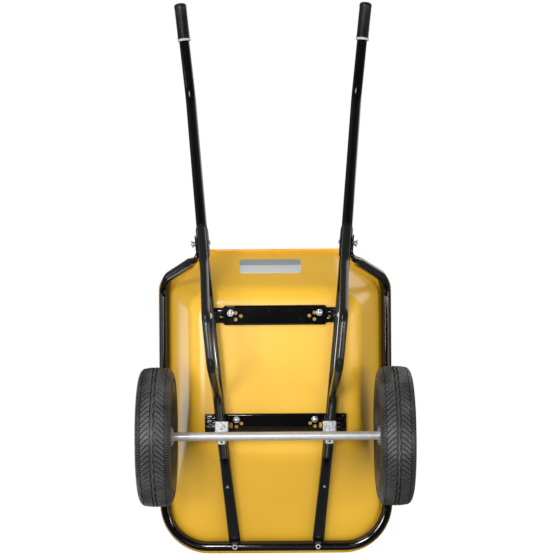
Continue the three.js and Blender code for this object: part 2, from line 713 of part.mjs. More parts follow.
// The maker's plate on the outside of the rear wall.
function label() {
  const run = TRAY_WALL_REAR - TRAY_FLOOR_REAR;
  const rise = FLANGE_UNDERSIDE - TRAY_FLOOR_HEIGHT;
  const lean = Math.atan2(run, rise);
  return box(LABEL_WIDTH, LABEL_SHEET, LABEL_HEIGHT, 0, GAP + LABEL_SHEET / 2, -LABEL_DOWN - LABEL_HEIGHT / 2)
    .rotateX(-lean)
    .translate(LABEL_ASIDE, TRAY_WALL_REAR, FLANGE_UNDERSIDE);
}

// --- Wheels ---------------------------------------------------------------------------------

// A ring turned about X from a section of [across, radius] points, listed either way round.
function turned(section, facets) {
  const points = section.map(([across, radius]) => new THREE.Vector2(radius, across));
  if (THREE.ShapeUtils.isClockWise(points)) points.reverse();
  const geometry = new THREE.LatheGeometry([...points, points[0]], facets, Math.PI / facets);
  return geometry.rotateZ(-Math.PI / 2);
}

function bothSides(half) {
  const mirrored = half.toReversed().filter(([across]) => across !== 0);
  return [...half, ...mirrored.map(([across, radius]) => [-across, radius])];
}

function tyre() {
  const w = TYRE_WIDTH / 2;
  const r = TYRE_RADIUS;
  const bead = BEAD_SPREAD / 2;
  const belly = BEAD_RADIUS + 0.5 * (r - BEAD_RADIUS);
  const outside = [
    [bead, BEAD_RADIUS],
    [bead, BEAD_RADIUS + RIM_LIP + 3],
    [w, belly],
    [w - 4, r - 20],
    [w - 16, r - 6],
    [w - 34, r],
  ];
  const inside = [
    [bead - TYRE_WALL, BEAD_RADIUS],
    [w - TYRE_WALL, belly],
    [w - 34, r - TYRE_WALL - 5],
  ];
  return turned([...bothSides(outside), ...bothSides(inside).toReversed()], WHEEL_FACETS);
}

function wheelRim() {
  const bead = BEAD_SPREAD / 2 + GAP;
  const seat = BEAD_RADIUS - GAP;
  const well = seat - RIM_WELL;
  const sheet = RIM_SHEET;
  const outside = [
    [bead + sheet, seat + RIM_LIP],
    [bead, seat + RIM_LIP],
    [bead, seat],
    [bead - 18, well],
  ];
  const under = [
    [bead + sheet, seat - sheet],
    [bead - 20, well - sheet],
    [sheet, well - sheet],
    [sheet, HUB_RADIUS + GAP],
  ];
  const section = [...bothSides(outside), ...bothSides(under).toReversed()];
  const ring = turned(section, WHEEL_FACETS);
  const valveHole = rod("z", VALVE_RADIUS + 1, 60, new THREE.Vector3(VALVE_OFFSET, 0, seat - 8));
  return cut(ring, valveHole);
}

function innerTube() {
  const middle = INNER_TUBE_MIDDLE;
  const across = TYRE_WIDTH / 2 - TYRE_WALL - 5;
  const deep = INNER_TUBE_REACH;
  const ellipse = (shrink) => {
    const points = [];
    for (let i = 0; i < 6; i++) {
      const angle = (i * Math.PI) / 3;
      points.push([(across - shrink) * Math.cos(angle), middle + (deep - shrink) * Math.sin(angle)]);
    }
    return points;
  };
  const outer = turned(ellipse(0), WHEEL_FACETS - 8);
  const inner = turned(ellipse(INNER_TUBE_WALL), WHEEL_FACETS - 8);
  const valveHole = rod("z", VALVE_RADIUS + GAP, 30, new THREE.Vector3(VALVE_OFFSET, 0, middle - deep));
  return cut(outer, inner, valveHole);
}

function valve() {
  const foot = INNER_TUBE_MIDDLE - INNER_TUBE_REACH + 8;
  const stem = rod("z", VALVE_RADIUS, foot - VALVE_TIP, new THREE.Vector3(0, 0, (foot + VALVE_TIP) / 2), 10);
  return stem.translate(VALVE_OFFSET, 0, 0);
}

function hub() {
  const end = HUB_LENGTH / 2;
  const seat = end - BEARING_WIDTH;
  const half = [
    [end, HUB_RADIUS],
  ];
  const bore = [
    [end, BEARING_RADIUS + GAP],
    [seat, BEARING_RADIUS + GAP],
    [seat, AXLE_RADIUS + HUB_CLEARANCE],
  ];
  return turned([...bothSides(half), ...bothSides(bore).toReversed()], 16);
}

function ring(inner, outer, width) {
  const half = [[width / 2, outer]];
  return turned([...bothSides(half), ...bothSides([[width / 2, inner]]).toReversed()], 16);
}

// --- Axle and clamps ------------------------------------------------------------------------

function axle() {
  return rod("x", AXLE_RADIUS, AXLE_LENGTH, new THREE.Vector3(0, 0, AXLE_HEIGHT), 16);
}

// A pressed seat between the leg tube and the axle, with sides that stand up beside the tube.
function axleClamp() {
  const depth = CLAMP_REAR - CLAMP_FRONT;
  const middle = (CLAMP_REAR + CLAMP_FRONT) / 2;
  const top = LEG_LEVEL - LEG_RADIUS - GAP;
  const x = railHalf(0);
  const plate = box(CLAMP_WIDTH, depth, CLAMP_SHEET, x, middle, top - CLAMP_SHEET / 2);
  const sideX = CLAMP_WIDTH / 2 - CLAMP_SHEET / 2;
  const sides = [-sideX, sideX].map((offset) =>
    box(CLAMP_SHEET, depth, CLAMP_SIDE, x + offset, middle, top + CLAMP_SIDE / 2 - CLAMP_SHEET / 2),
  );
  return cut(joined(plate, ...sides), uprightHole(railHalf(FRONT_BRACE_PLACE), FRONT_BRACE_PLACE));
}

// --- Fasteners ------------------------------------------------------------------------------

// A hexagon-headed bolt that stands on its head, with the underside of the head at z = 0.
function hexBolt(length) {
  const head = new THREE.CylinderGeometry(HEAD_RADIUS, HEAD_RADIUS, HEAD_HEIGHT, 6);
  head.rotateX(Math.PI / 2).translate(0, 0, -HEAD_HEIGHT / 2);
  const shank = new THREE.CylinderGeometry(BOLT_RADIUS, BOLT_RADIUS, length + 1, 10);
  shank.rotateX(Math.PI / 2).translate(0, 0, length / 2 - 0.5);
  return joined(head, shank);
}

// A domed cap nut with its seat at z = 0 and its crown towards -Z.
function domeNut() {
  const crown = DOME_HEIGHT;
  const profile = [
    [0, -crown],
    [DOME_RADIUS * 0.5, -crown * 0.87],
    [DOME_RADIUS * 0.87, -crown * 0.5],
    [DOME_RADIUS, -1],
    [DOME_RADIUS, 0],
    [BOLT_RADIUS + GAP, 0],
    [BOLT_RADIUS + GAP, -crown * 0.6],
    [0, -crown * 0.6],
  ].map(([radius, height]) => new THREE.Vector2(radius, height));
  const geometry = new THREE.LatheGeometry(profile, 10);
  return geometry.rotateX(Math.PI / 2);
}

// A mushroom-headed bolt with the underside of its head at z = 0 and its shank towards -Z.
function trayBolt() {
  const shank = 2 * GAP + TRAY_SHEET + BRACE_DEPTH + DOME_HEIGHT * 0.5;
  const profile = [
    [0, -shank],
    [BOLT_RADIUS, -shank],
    [BOLT_RADIUS, 0],
    [DOME_RADIUS + 1, 0],
    [DOME_RADIUS, 2],
    [DOME_RADIUS * 0.5, 4],
    [0, 4.5],
  ].map(([radius, height]) => new THREE.Vector2(radius, height));
  return new THREE.LatheGeometry(profile, 10).rotateX(Math.PI / 2);
}

// A wing nut with its seat at x = 0, standing towards +X.
function wingNut() {
  const length = WING_BARREL_LENGTH;
  const body = rod("x", HEAD_RADIUS, length, new THREE.Vector3(length / 2, 0, 0), 12);
  const wings = box(length, WING_SPAN, WING_SHEET, length - 0.5, 0, 0);
  const hole = rod("x", BOLT_RADIUS + GAP, 40, new THREE.Vector3(), 10);
  return cut(joined(body, wings), hole);
}

// --- Grips ----------------------------------------------------------------------------------

// A moulded sleeve with a closed, rounded end, along +Z with the tube's end at z = 0.
function grip() {
  const mouth = -GRIP_LENGTH + GRIP_CAP;
  const profile = [
    [GRIP_BORE, mouth],
    [GRIP_RADIUS, mouth],
    [GRIP_RADIUS, GRIP_CAP - 7],
    [GRIP_RADIUS - 2, GRIP_CAP - 2.5],
    [GRIP_RADIUS - 6, GRIP_CAP],
    [0, GRIP_CAP],
    [0, GAP],
    [GRIP_BORE, GAP],
  ].map(([radius, height]) => new THREE.Vector2(radius, height));
  return new THREE.LatheGeometry([...profile, profile[0]], 20).rotateX(Math.PI / 2);
}

function gripCollar() {
  const mouth = -GRIP_LENGTH + GRIP_CAP - GAP;
  const profile = [
    [GRIP_BORE, mouth - COLLAR_LENGTH],
    [COLLAR_RADIUS, mouth - COLLAR_LENGTH],
    [COLLAR_RADIUS, mouth],
    [GRIP_BORE, mouth],
  ].map(([radius, height]) => new THREE.Vector2(radius, height));
  return new THREE.LatheGeometry([...profile, profile[0]], 20).rotateX(Math.PI / 2);
}

// --- Assembly -------------------------------------------------------------------------------

const barrow = new THREE.Group();
const SIDES = [
  { side: "left", sign: 1 },
  { side: "right", sign: -1 },
];

// Adds a pair of pieces, one as made for the left side and one mirrored to the right.
function addMirrored(name, geometry, material) {
  for (const { side, sign } of SIDES) {
    const mesh = namedMesh(`${name}_${side}`, geometry, material);
    mesh.scale.x = sign;
    barrow.add(mesh);
  }
}

function addFrame() {
  barrow.add(namedMesh("rim_tube", rimTube(), FINISHES.blackPaint));
  addMirrored("main_tube", mainTube(), FINISHES.blackPaint);
  addMirrored("leg_tube", legTube(), FINISHES.blackPaint);
  barrow.add(namedMesh("cross_brace_rear", rearBrace(), FINISHES.blackPaint));
  barrow.add(namedMesh("cross_brace_front", frontBrace(), FINISHES.blackPaint));
}

function addTray() {
  barrow.add(namedMesh("tray", tray(), FINISHES.yellowPaint));
  barrow.add(namedMesh("tray_label", label(), FINISHES.silverFoil));
  for (const [row, place] of [
    ["rear", REAR_TRAY_BOLT],
    ["front", FRONT_TRAY_BOLT],
  ]) {
    addMirrored(
      `tray_bolt_${row}`,
      trayBolt().translate(place.x, place.y, TRAY_FLOOR_HEIGHT + TRAY_SHEET + GAP),
      FINISHES.zinc,
    );
    addMirrored(
      `tray_nut_${row}`,
      domeNut().translate(place.x, place.y, BRACE_BOTTOM - GAP),
      FINISHES.brightSteel,
    );
  }
}

function addGrips() {
  const slant = Math.atan2((HANDLE_SPREAD - HANDLE_BEND_SPREAD) / 2, HANDLE_END - HANDLE_BEND);
  const place = (geometry) =>
    geometry.rotateX(-Math.PI / 2).rotateZ(-slant).translate(HANDLE_SPREAD / 2, HANDLE_END, HANDLE_HEIGHT);
  addMirrored("grip", place(grip()), FINISHES.blackRubber);
  addMirrored("grip_collar", place(gripCollar()), FINISHES.palePlastic);
}

function addWheel(side, sign) {
  const wheel = new THREE.Group();
  wheel.position.set(sign * WHEEL_MIDDLE, 0, AXLE_HEIGHT);
  wheel.scale.x = sign;
  const bearingPlace = (HUB_LENGTH - BEARING_WIDTH) / 2;
  const bearing = ring(AXLE_RADIUS + GAP, BEARING_RADIUS, BEARING_WIDTH - 1);
  wheel.add(
    namedMesh(`tyre_${side}`, tyre(), FINISHES.tyreRubber),
    namedMesh(`inner_tube_${side}`, innerTube(), FINISHES.blackRubber),
    namedMesh(`valve_${side}`, valve(), FINISHES.zinc),
    namedMesh(`wheel_rim_${side}`, wheelRim(), FINISHES.rimPaint),
    namedMesh(`hub_${side}`, hub(), FINISHES.zinc),
    namedMesh(`bearing_inner_${side}`, bearing.clone().translate(-bearingPlace, 0, 0), FINISHES.brightSteel),
    namedMesh(`bearing_outer_${side}`, bearing.clone().translate(bearingPlace, 0, 0), FINISHES.brightSteel),
  );
  barrow.add(wheel);
}

function addAxle() {
  barrow.add(namedMesh("axle", axle(), FINISHES.zinc));
  addMirrored("axle_clamp", axleClamp(), FINISHES.zinc);
  const washer = ring(AXLE_RADIUS + GAP, WASHER_RADIUS, WASHER_THICKNESS);
  const innerPlace = WHEEL_MIDDLE - HUB_LENGTH / 2 - GAP - WASHER_THICKNESS / 2;
  const outerPlace = HUB_FACE + GAP + WASHER_THICKNESS / 2;
  addMirrored("washer_inner", washer.clone().translate(innerPlace, 0, AXLE_HEIGHT), FINISHES.zinc);
  addMirrored("washer_outer", washer.clone().translate(outerPlace, 0, AXLE_HEIGHT), FINISHES.zinc);
  const capStart = HUB_FACE + 2 * GAP + WASHER_THICKNESS;
  const cap = cut(
    rod("x", CAP_RADIUS, CAP_LENGTH, new THREE.Vector3(capStart + CAP_LENGTH / 2, 0, AXLE_HEIGHT), 20),
    rod("x", AXLE_RADIUS + GAP, AXLE_LENGTH + 2 * GAP, new THREE.Vector3(0, 0, AXLE_HEIGHT), 16),
  );
  addMirrored("axle_cap", cap, FINISHES.zinc);
}

function addFrameFasteners() {
  const place = FRONT_BRACE_PLACE;
  const clampUnderside = LEG_LEVEL - LEG_RADIUS - GAP - CLAMP_SHEET;
  const clampReach = BRACE_BOTTOM + BRACE_SHEET + HEAD_HEIGHT - clampUnderside;
  const clampBolt = hexBolt(clampReach).translate(railHalf(place), place, clampUnderside - GAP);
  addMirrored("axle_clamp_bolt", clampBolt, FINISHES.zinc);
  const rearReach = 2 * MAIN_RADIUS + 2 * GAP + BRACE_SHEET + HEAD_HEIGHT;
  const rearBolt = hexBolt(rearReach).translate(
    railHalf(REAR_BRACE_PLACE),
    REAR_BRACE_PLACE,
    CHASSIS_HEIGHT - MAIN_RADIUS - GAP,
  );
  addMirrored("rear_brace_bolt", rearBolt, FINISHES.zinc);
  const noseReach = TONGUE_SHEET + 2 * GAP + 2 * RIM_TUBE_RADIUS - TUBE_WALL;
  const noseBolt = hexBolt(noseReach).translate(NOSE_SPREAD / 2, NOSE_BAR, TONGUE_TOP - TONGUE_SHEET - GAP);
  addMirrored("nose_bolt", noseBolt, FINISHES.zinc);
  const seat = MAIN_RADIUS + GAP + SADDLE_SHEET;
  const outside = railHalf(LEG_BOLT_PLACE) + seat + GAP + RIM_TAB_SHEET + GAP;
  const legBolt = hexBolt(2 * seat + RIM_TAB_SHEET + 3 * GAP + 11)
    .rotateY(Math.PI / 2)
    .translate(railHalf(LEG_BOLT_PLACE) - seat - 2 * GAP, LEG_BOLT_PLACE, LEG_BOLT_HEIGHT);
  addMirrored("leg_bolt", legBolt, FINISHES.zinc);
  const wing = wingNut().rotateX(WING_TURN).translate(outside + 1, LEG_BOLT_PLACE, LEG_BOLT_HEIGHT);
  addMirrored("leg_wing_nut", wing, FINISHES.brightSteel);
}

addFrame();
addTray();
addGrips();
for (const { side, sign } of SIDES) addWheel(side, sign);
addAxle();
addFrameFasteners();

// The origin is on the floor, under the middle of the whole barrow.
const extent = new THREE.Box3().setFromObject(barrow);
barrow.position.y = -(extent.min.y + extent.max.y) / 2;
const wheelbarrow = new THREE.Group();
wheelbarrow.add(barrow);

export default wheelbarrow;
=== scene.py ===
import math

import bmesh
import bpy
from mathutils import Matrix, Vector


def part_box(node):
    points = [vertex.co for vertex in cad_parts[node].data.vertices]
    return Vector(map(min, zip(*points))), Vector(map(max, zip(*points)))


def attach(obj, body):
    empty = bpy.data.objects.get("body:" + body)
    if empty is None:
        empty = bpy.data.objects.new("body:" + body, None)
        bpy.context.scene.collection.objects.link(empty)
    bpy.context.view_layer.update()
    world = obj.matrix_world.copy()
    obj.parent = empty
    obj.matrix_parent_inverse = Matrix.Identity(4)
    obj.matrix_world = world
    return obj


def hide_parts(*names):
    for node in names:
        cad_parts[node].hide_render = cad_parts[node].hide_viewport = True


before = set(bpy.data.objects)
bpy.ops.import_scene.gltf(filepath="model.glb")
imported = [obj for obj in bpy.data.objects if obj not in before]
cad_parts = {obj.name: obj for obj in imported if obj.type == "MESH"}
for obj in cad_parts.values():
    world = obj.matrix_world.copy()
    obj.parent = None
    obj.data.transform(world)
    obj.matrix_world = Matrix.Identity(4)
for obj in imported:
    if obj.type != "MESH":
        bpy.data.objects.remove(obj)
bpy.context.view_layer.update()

# A two-wheeled builder's wheelbarrow. Shapes are worked out in millimetres, with X to the left,
# Y from the axle towards the handles and Z up from the floor. They are made in metres.

# --- Sizes ------------------------------------------------------------------------------------

MILLIMETRE = 0.001
AXLE_CENTRE = (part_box("axle")[0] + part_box("axle")[1]) / 2
AXLE_HEIGHT = AXLE_CENTRE.z / MILLIMETRE
GAP = 0.3
UP = Vector((0, 0, 1))

MAIN_RADIUS, LEG_RADIUS, RIM_TUBE_RADIUS = 16, 12.5, 15.5
TUBE_WALL = 1.6
SHEET = 2.5  # braces, clamps and saddles

AXLE_RADIUS = 12.5
WHEEL_MIDDLE = 340
HUB_HALF = 44
BEARING_MIDDLE = 38
VALVE_ASIDE = 8
WASHER = 3
LEG_LEVEL = AXLE_HEIGHT + AXLE_RADIUS + SHEET + 2 * GAP + LEG_RADIUS
CHASSIS_HEIGHT = LEG_LEVEL + LEG_RADIUS + GAP + MAIN_RADIUS
BRACE_BOTTOM = CHASSIS_HEIGHT + MAIN_RADIUS + GAP
BRACE_DEPTH = 10
TRAY_FLOOR_HEIGHT = BRACE_BOTTOM + BRACE_DEPTH + GAP
TRAY_SHEET = 1.2
TRAY_RIM_HEIGHT = 560
FLANGE_UNDERSIDE = TRAY_RIM_HEIGHT - TRAY_SHEET
RIM_TUBE_HEIGHT = FLANGE_UNDERSIDE - GAP - RIM_TUBE_RADIUS
TRAY_HALF_WIDTH = 359
TONGUE_SHEET = 6
TONGUE_TOP = RIM_TUBE_HEIGHT - RIM_TUBE_RADIUS - GAP

HANDLE_HEIGHT, HANDLE_END, HANDLE_BEND = 620, 1310, 1017
REAR_BEND, FRONT_BEND, NOSE_BAR = 431, -64, -373
NOSE_HALF = 128
NOSE_EYE = 9.5
TONGUE_BEND = -350
PLAN_LINE = [
    (HANDLE_END, 291), (HANDLE_BEND, 259.5), (REAR_BEND, 197.5), (FRONT_BEND, 149), (NOSE_BAR, NOSE_HALF),
]
BOLT_HOLE = 4.3
HANDLE_SLOPE = math.atan2(HANDLE_HEIGHT - CHASSIS_HEIGHT, HANDLE_BEND - REAR_BEND)
SADDLE_REAR, SADDLE_FRONT = 606, 503
LEG_BOLT = 557
REAR_BRACE, FRONT_BRACE = 345, 31
REAR_TRAY_BOLT, FRONT_TRAY_BOLT = (129.5, 352), (114, 41)


def rail_half(y):
    """Half the spread of the rails at a place along the barrow."""
    for (y0, x0), (y1, x1) in zip(PLAN_LINE, PLAN_LINE[1:]):
        if y >= y1:
            return x0 + (x1 - x0) * (y - y0) / (y1 - y0)
    return PLAN_LINE[-1][1]


def slope_height(y):
    """Height of the main tube's axis on its way up to the handles."""
    return CHASSIS_HEIGHT + (y - REAR_BEND) * math.tan(HANDLE_SLOPE)


def mix(a, b, share):
    return a + (b - a) * share


def share_of(value, low, high):
    return min(1.0, max(0.0, (value - low) / (high - low)))


# --- Node trees -------------------------------------------------------------------------------


class Value:
    """A node's output that takes part in Python arithmetic."""

    def __init__(self, nodes, socket):
        self.nodes, self.socket = nodes, socket

    def named(self, name):
        return Value(self.nodes, self.socket.node.outputs[name])

    def _maths(self, operation, *inputs):
        return self.nodes.add("ShaderNodeMath", {"operation": operation}, dict(enumerate(inputs)))

    def __add__(self, other):
        return self._maths("ADD", self, other)

    __radd__ = __add__

    def __mul__(self, other):
        return self._maths("MULTIPLY", self, other)

    __rmul__ = __mul__

    def __truediv__(self, other):
        return self._maths("DIVIDE", self, other)


class Nodes:
    """Adds nodes to a tree, one call for each."""

    def __init__(self, tree):
        self.tree = tree

    def add(self, kind, settings=None, inputs=None, output=0):
        node = self.tree.nodes.new(kind)
        for name, value in (settings or {}).items():
            setattr(node, name, value)
        for key, value in (inputs or {}).items():
            self.feed(node.inputs[key], value)
        return Value(self, node.outputs[output] if node.outputs else None)

    def feed(self, socket, value):
        if isinstance(value, Value):
            self.tree.links.new(value.socket, socket)
        else:
            socket.default_value = value


def opaque(shade):
    """A plain colour with its alpha; a node's output stays as it is."""
    return (*shade, 1) if isinstance(shade, tuple) else shade


class Finish(Nodes):
    """A procedural material on Object coordinates, with one Principled shader."""

    def __init__(self, name, constants=None):
        self.material = bpy.data.materials.new(name)
        self.material.use_nodes = True
        super().__init__(self.material.node_tree)
        self.shader = self.tree.nodes["Principled BSDF"]
        self.place = self.add("ShaderNodeTexCoord").named("Object")
        for key, value in (constants or {}).items():
            self.shader.inputs[key].default_value = value

    def set(self, name, value):
        self.feed(self.shader.inputs[name], value)

    def stretched(self, scale):
        return self.add("ShaderNodeMapping", inputs={"Vector": self.place, "Scale": scale})

    def noise(self, scale, detail=3, place=None, roughness=0.5):
        inputs = {"Vector": place or self.place, "Scale": scale, "Detail": detail, "Roughness": roughness}
        return self.add("ShaderNodeTexNoise", inputs=inputs)

    def cells(self, scale):
        return self.add("ShaderNodeTexVoronoi", inputs={"Vector": self.place, "Scale": scale}).named("Color")

    def spread(self, value, low, high, to_low=0.0, to_high=1.0):
        inputs = {"Value": value, "From Min": low, "From Max": high, "To Min": to_low, "To Max": to_high}
        return self.add("ShaderNodeMapRange", {"interpolation_type": "SMOOTHSTEP"}, inputs)

    def between(self, first, second, factor):
        inputs = {0: factor, 6: opaque(first), 7: opaque(second)}
        return self.add("ShaderNodeMix", {"data_type": "RGBA"}, inputs, output=2)

    def bump(self, height, strength, distance, under=None):
        inputs = {"Strength": strength, "Distance": distance, "Height": height}
        if under is not None:
            inputs["Normal"] = under
        return self.add("ShaderNodeBump", inputs=inputs)


def gloss_paint(name, light, dark, roughness, coat, peel=0.05):
    """Stoved gloss paint: slow tone changes, orange peel and a little dust that dulls it."""
    paint = Finish(name, {"Coat Weight": coat, "Coat Roughness": 0.06, "IOR": 1.5})
    slow = paint.noise(3.0, 2)
    paint.set("Base Color", paint.between(light, dark, paint.spread(slow, 0.35, 0.7)))
    dust = paint.spread(paint.noise(38.0, 6, roughness=0.7), 0.52, 0.75)
    paint.set("Roughness", dust * 0.1 + paint.noise(9.0, 2) * 0.05 + roughness)
    waves = paint.bump(paint.noise(26.0, 2), peel * 0.6, 0.004)
    paint.set("Normal", paint.bump(paint.noise(620.0, 1), peel, 0.0008, waves))
    return paint.material


def plated(name, light, dark, cell_scale, rough_low, rough_high, grain=(1, 1, 1), bump=0.12, metallic=0.6):
    """Zinc or steel: crystals of slightly different tone, stretched drawing marks and fine pits."""
    metal = Finish(name, {"Metallic": metallic})
    crystal = metal.cells(cell_scale)
    tone = metal.add("ShaderNodeSeparateColor", inputs={"Color": crystal})
    drawn = metal.noise(60.0, 4, place=metal.stretched(grain))
    metal.set("Base Color", metal.between(dark, light, metal.spread(tone * 0.55 + drawn * 0.45, 0.2, 0.75)))
    worn = tone * 0.5 + metal.noise(45.0, 5) * 0.5
    metal.set("Roughness", metal.spread(worn, 0.2, 0.8, rough_low, rough_high))
    pits = metal.noise(900.0, 3)
    metal.set("Normal", metal.bump(pits + drawn, bump, 0.0006))
    return metal.material


def moulded_rubber(name, light, dark, rough_low, rough_high, bump=0.25, sheen=0.0):
    """Vulcanised rubber: nearly black, with a bloom in patches and a fine grain."""
    rubber = Finish(name, {"Specular IOR Level": 0.45, "Coat Weight": sheen, "Coat Roughness": 0.42})
    bloom = rubber.spread(rubber.noise(14.0, 6, roughness=0.65), 0.4, 0.72)
    rubber.set("Base Color", rubber.between(dark, light, bloom))
    rubber.set("Roughness", rubber.spread(rubber.noise(70.0, 4), 0.3, 0.7, rough_low, rough_high))
    rubber.set("Normal", rubber.bump(rubber.noise(1100.0, 3), bump, 0.0006))
    return rubber.material


def foil(name, low, high):
    """A silver plate with a darker band along its top and a lighter one under it, and no lettering."""
    sticker = Finish(name, {"Metallic": 0.35})
    height = sticker.add("ShaderNodeSeparateXYZ", inputs={"Vector": sticker.place}).named("Z")
    middle = mix(low, high, 0.56)
    band = sticker.spread(height, middle - 0.0012, middle + 0.0012)
    flow = sticker.noise(220.0, 3, place=sticker.stretched((0.05, 1, 1)))
    pale = sticker.between((0.76, 0.79, 0.79), (0.90, 0.92, 0.91), flow)
    deep = sticker.between((0.40, 0.45, 0.47), (0.52, 0.57, 0.59), flow)
    sticker.set("Base Color", sticker.between(pale, deep, band))
    sticker.set("Roughness", flow * 0.2 + 0.3)
    sticker.set("Normal", sticker.bump(flow, 0.06, 0.0005))
    return sticker.material


def matt_plastic(name, light, dark):
    plastic = Finish(name)
    plastic.set("Base Color", plastic.between(light, dark, plastic.spread(plastic.noise(120.0, 4), 0.3, 0.7)))
    plastic.set("Roughness", plastic.noise(60.0, 3) * 0.25 + 0.35)
    plastic.set("Normal", plastic.bump(plastic.noise(1500.0, 2), 0.12, 0.0004))
    return plastic.material


label_low, label_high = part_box("tray_label")
YELLOW = gloss_paint("yellow_gloss", (0.90, 0.52, 0.042), (0.86, 0.48, 0.032), 0.27, 0.12, 0.02)
BLACK = gloss_paint("black_gloss", (0.003, 0.003, 0.003), (0.005, 0.004, 0.004), 0.06, 0.3, 0.015)
# The legs' paint is rougher than the other tubes, and its lighter black is painted sheen for the grey
# reflections along the legs.
LEG_BLACK = gloss_paint("black_rough_painted_sheen", (0.010, 0.010, 0.010), (0.015, 0.015, 0.014), 0.2, 0.1, 0.03)
RIM_BLACK = gloss_paint("black_satin", (0.012, 0.012, 0.013), (0.018, 0.018, 0.019), 0.3, 0.1, 0.08)
ZINC = plated("galvanised", (0.66, 0.67, 0.68), (0.40, 0.41, 0.43), 260.0, 0.3, 0.55)
DRAWN_ZINC = plated("drawn_zinc", (0.74, 0.73, 0.72), (0.68, 0.67, 0.66), 90, 0.36, 0.44, (0.06, 1, 1), 0.01)
STEEL = plated("bright_steel", (0.82, 0.83, 0.84), (0.66, 0.67, 0.69), 700.0, 0.14, 0.3, (1, 1, 1), 0.05, 0.8)
TYRE = moulded_rubber("tyre_rubber", (0.085, 0.085, 0.083), (0.036, 0.036, 0.035), 0.4, 0.55, sheen=0.25)
GRIP = moulded_rubber("grip_rubber", (0.016, 0.016, 0.017), (0.008, 0.008, 0.009), 0.3, 0.5, 0.15)
BUTYL = moulded_rubber("butyl_rubber", (0.03, 0.03, 0.03), (0.016, 0.016, 0.016), 0.6, 0.85)
COLLAR = matt_plastic("pale_plastic", (0.56, 0.57, 0.58), (0.44, 0.45, 0.47))
FOIL = foil("silver_foil", label_low.z, label_high.z)

# --- Shapes -----------------------------------------------------------------------------------


class Shape:
    """Faces gathered in millimetres."""

    def __init__(self):
        self.points, self.faces = [], []

    def add(self, points, faces):
        first = len(self.points)
        self.points += [Vector(p) for p in points]
        self.faces += [[first + i for i in face] for face in faces]
        return self

    def join(self, other, matrix=None):
        moved = [matrix @ p for p in other.points] if matrix else other.points
        return self.add(moved, other.faces)

    def loft(self, rings, closed=False, capped=True):
        """A skin over rings of equally many points, with its ends capped, left open or joined."""
        count = len(rings[0])
        faces = []
        last = len(rings) if closed else len(rings) - 1
        for level in range(last):
            here, there = level * count, (level + 1) % len(rings) * count
            for i in range(count):
                j = (i + 1) % count
                faces.append([here + i, here + j, there + j, there + i])
        if capped and not closed:
            faces.append(list(range(count)))
            faces.append([last * count + i for i in range(count)])
        return self.add([p for ring in rings for p in ring], faces)

    def mesh(self, name):
        made = bpy.data.meshes.new(name)
        made.from_pydata([p * MILLIMETRE for p in self.points], [], self.faces)
        return made


def outward(mesh, merge=1e-6, sharp=38):
    """Merges doubles, turns faces outwards and shades smooth up to sharp edges."""
    work = bmesh.new()
    work.from_mesh(mesh)
    bmesh.ops.remove_doubles(work, verts=work.verts, dist=merge)
    bmesh.ops.dissolve_degenerate(work, edges=work.edges, dist=merge)
    bmesh.ops.recalc_face_normals(work, faces=work.faces)
    work.to_mesh(mesh)
    work.free()
    mesh.shade_smooth()
    mesh.set_sharp_from_angle(angle=math.radians(sharp))
    for face in mesh.polygons:
        if abs(face.normal.z) > 0.9998:
            face.use_smooth = False


def evaluated(mesh, dress):
    """The plain mesh that comes out of the modifiers that dress(object) puts on."""
    holder = bpy.data.objects.new("holder", mesh)
    bpy.context.scene.collection.objects.link(holder)
    dress(holder)
    graph = bpy.context.evaluated_depsgraph_get()
    result = bpy.data.meshes.new_from_object(holder.evaluated_get(graph))
    bpy.data.objects.remove(holder)
    return result


def drilled(mesh, tools, bevel=0.0):
    """The mesh with the tools' shape cut away and its edges rounded."""
    cutter = bpy.data.objects.new("cutter", tools.mesh("cutter"))
    outward(cutter.data)
    bpy.context.scene.collection.objects.link(cutter)
    outward(mesh)

    def dress(holder):
        carve = holder.modifiers.new("carve", "BOOLEAN")
        carve.operation, carve.solver, carve.object = "DIFFERENCE", "EXACT", cutter
        if bevel:
            edge = holder.modifiers.new("edge", "BEVEL")
            edge.width, edge.segments, edge.limit_method = bevel * MILLIMETRE, 2, "ANGLE"
            edge.angle_limit = math.radians(50)

    result = evaluated(mesh, dress)
    bpy.data.objects.remove(cutter)
    return result


def finished(name, mesh, material, body, slot, *nodes, mirror=False):
    """Puts a mesh in its place as a piece that rides on a body and stands for its CAD nodes."""
    place = Matrix.Translation((0, AXLE_CENTRE.y, 0))
    if mirror:
        place = place @ Matrix.Diagonal((-1, 1, 1, 1))
    mesh.transform(place)
    outward(mesh)
    mesh.materials.clear()
    mesh.materials.append(material)
    piece = bpy.data.objects.new(f"{name}_detail", mesh)
    bpy.context.scene.collection.objects.link(piece)
    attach(piece, body)
    if nodes:
        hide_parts(*nodes)
    return piece


def pair(name, build, material, slot):
    """A left piece and its mirror image on the right."""
    for side, mirror in (("left", False), ("right", True)):
        mesh = build()
        mesh = mesh.mesh(name) if isinstance(mesh, Shape) else mesh
        finished(f"{name}_{side}", mesh, material, "root", slot, f"{name}_{side}", mirror=mirror)


def circle(radius, count, turn=0.0):
    angles = [2 * math.pi * i / count + turn for i in range(count)]
    return [(radius * math.cos(a), radius * math.sin(a)) for a in angles]


def oval(half_width, half_height, power, count=32):
    """A superellipse: a circle at power 2, squarer above it."""
    points = []
    for i in range(count):
        a = 2 * math.pi * (i + 0.5) / count
        c, s = math.cos(a), math.sin(a)
        across = half_width * math.copysign(abs(c) ** (2 / power), c)
        points.append((across, half_height * math.copysign(abs(s) ** (2 / power), s)))
    return points


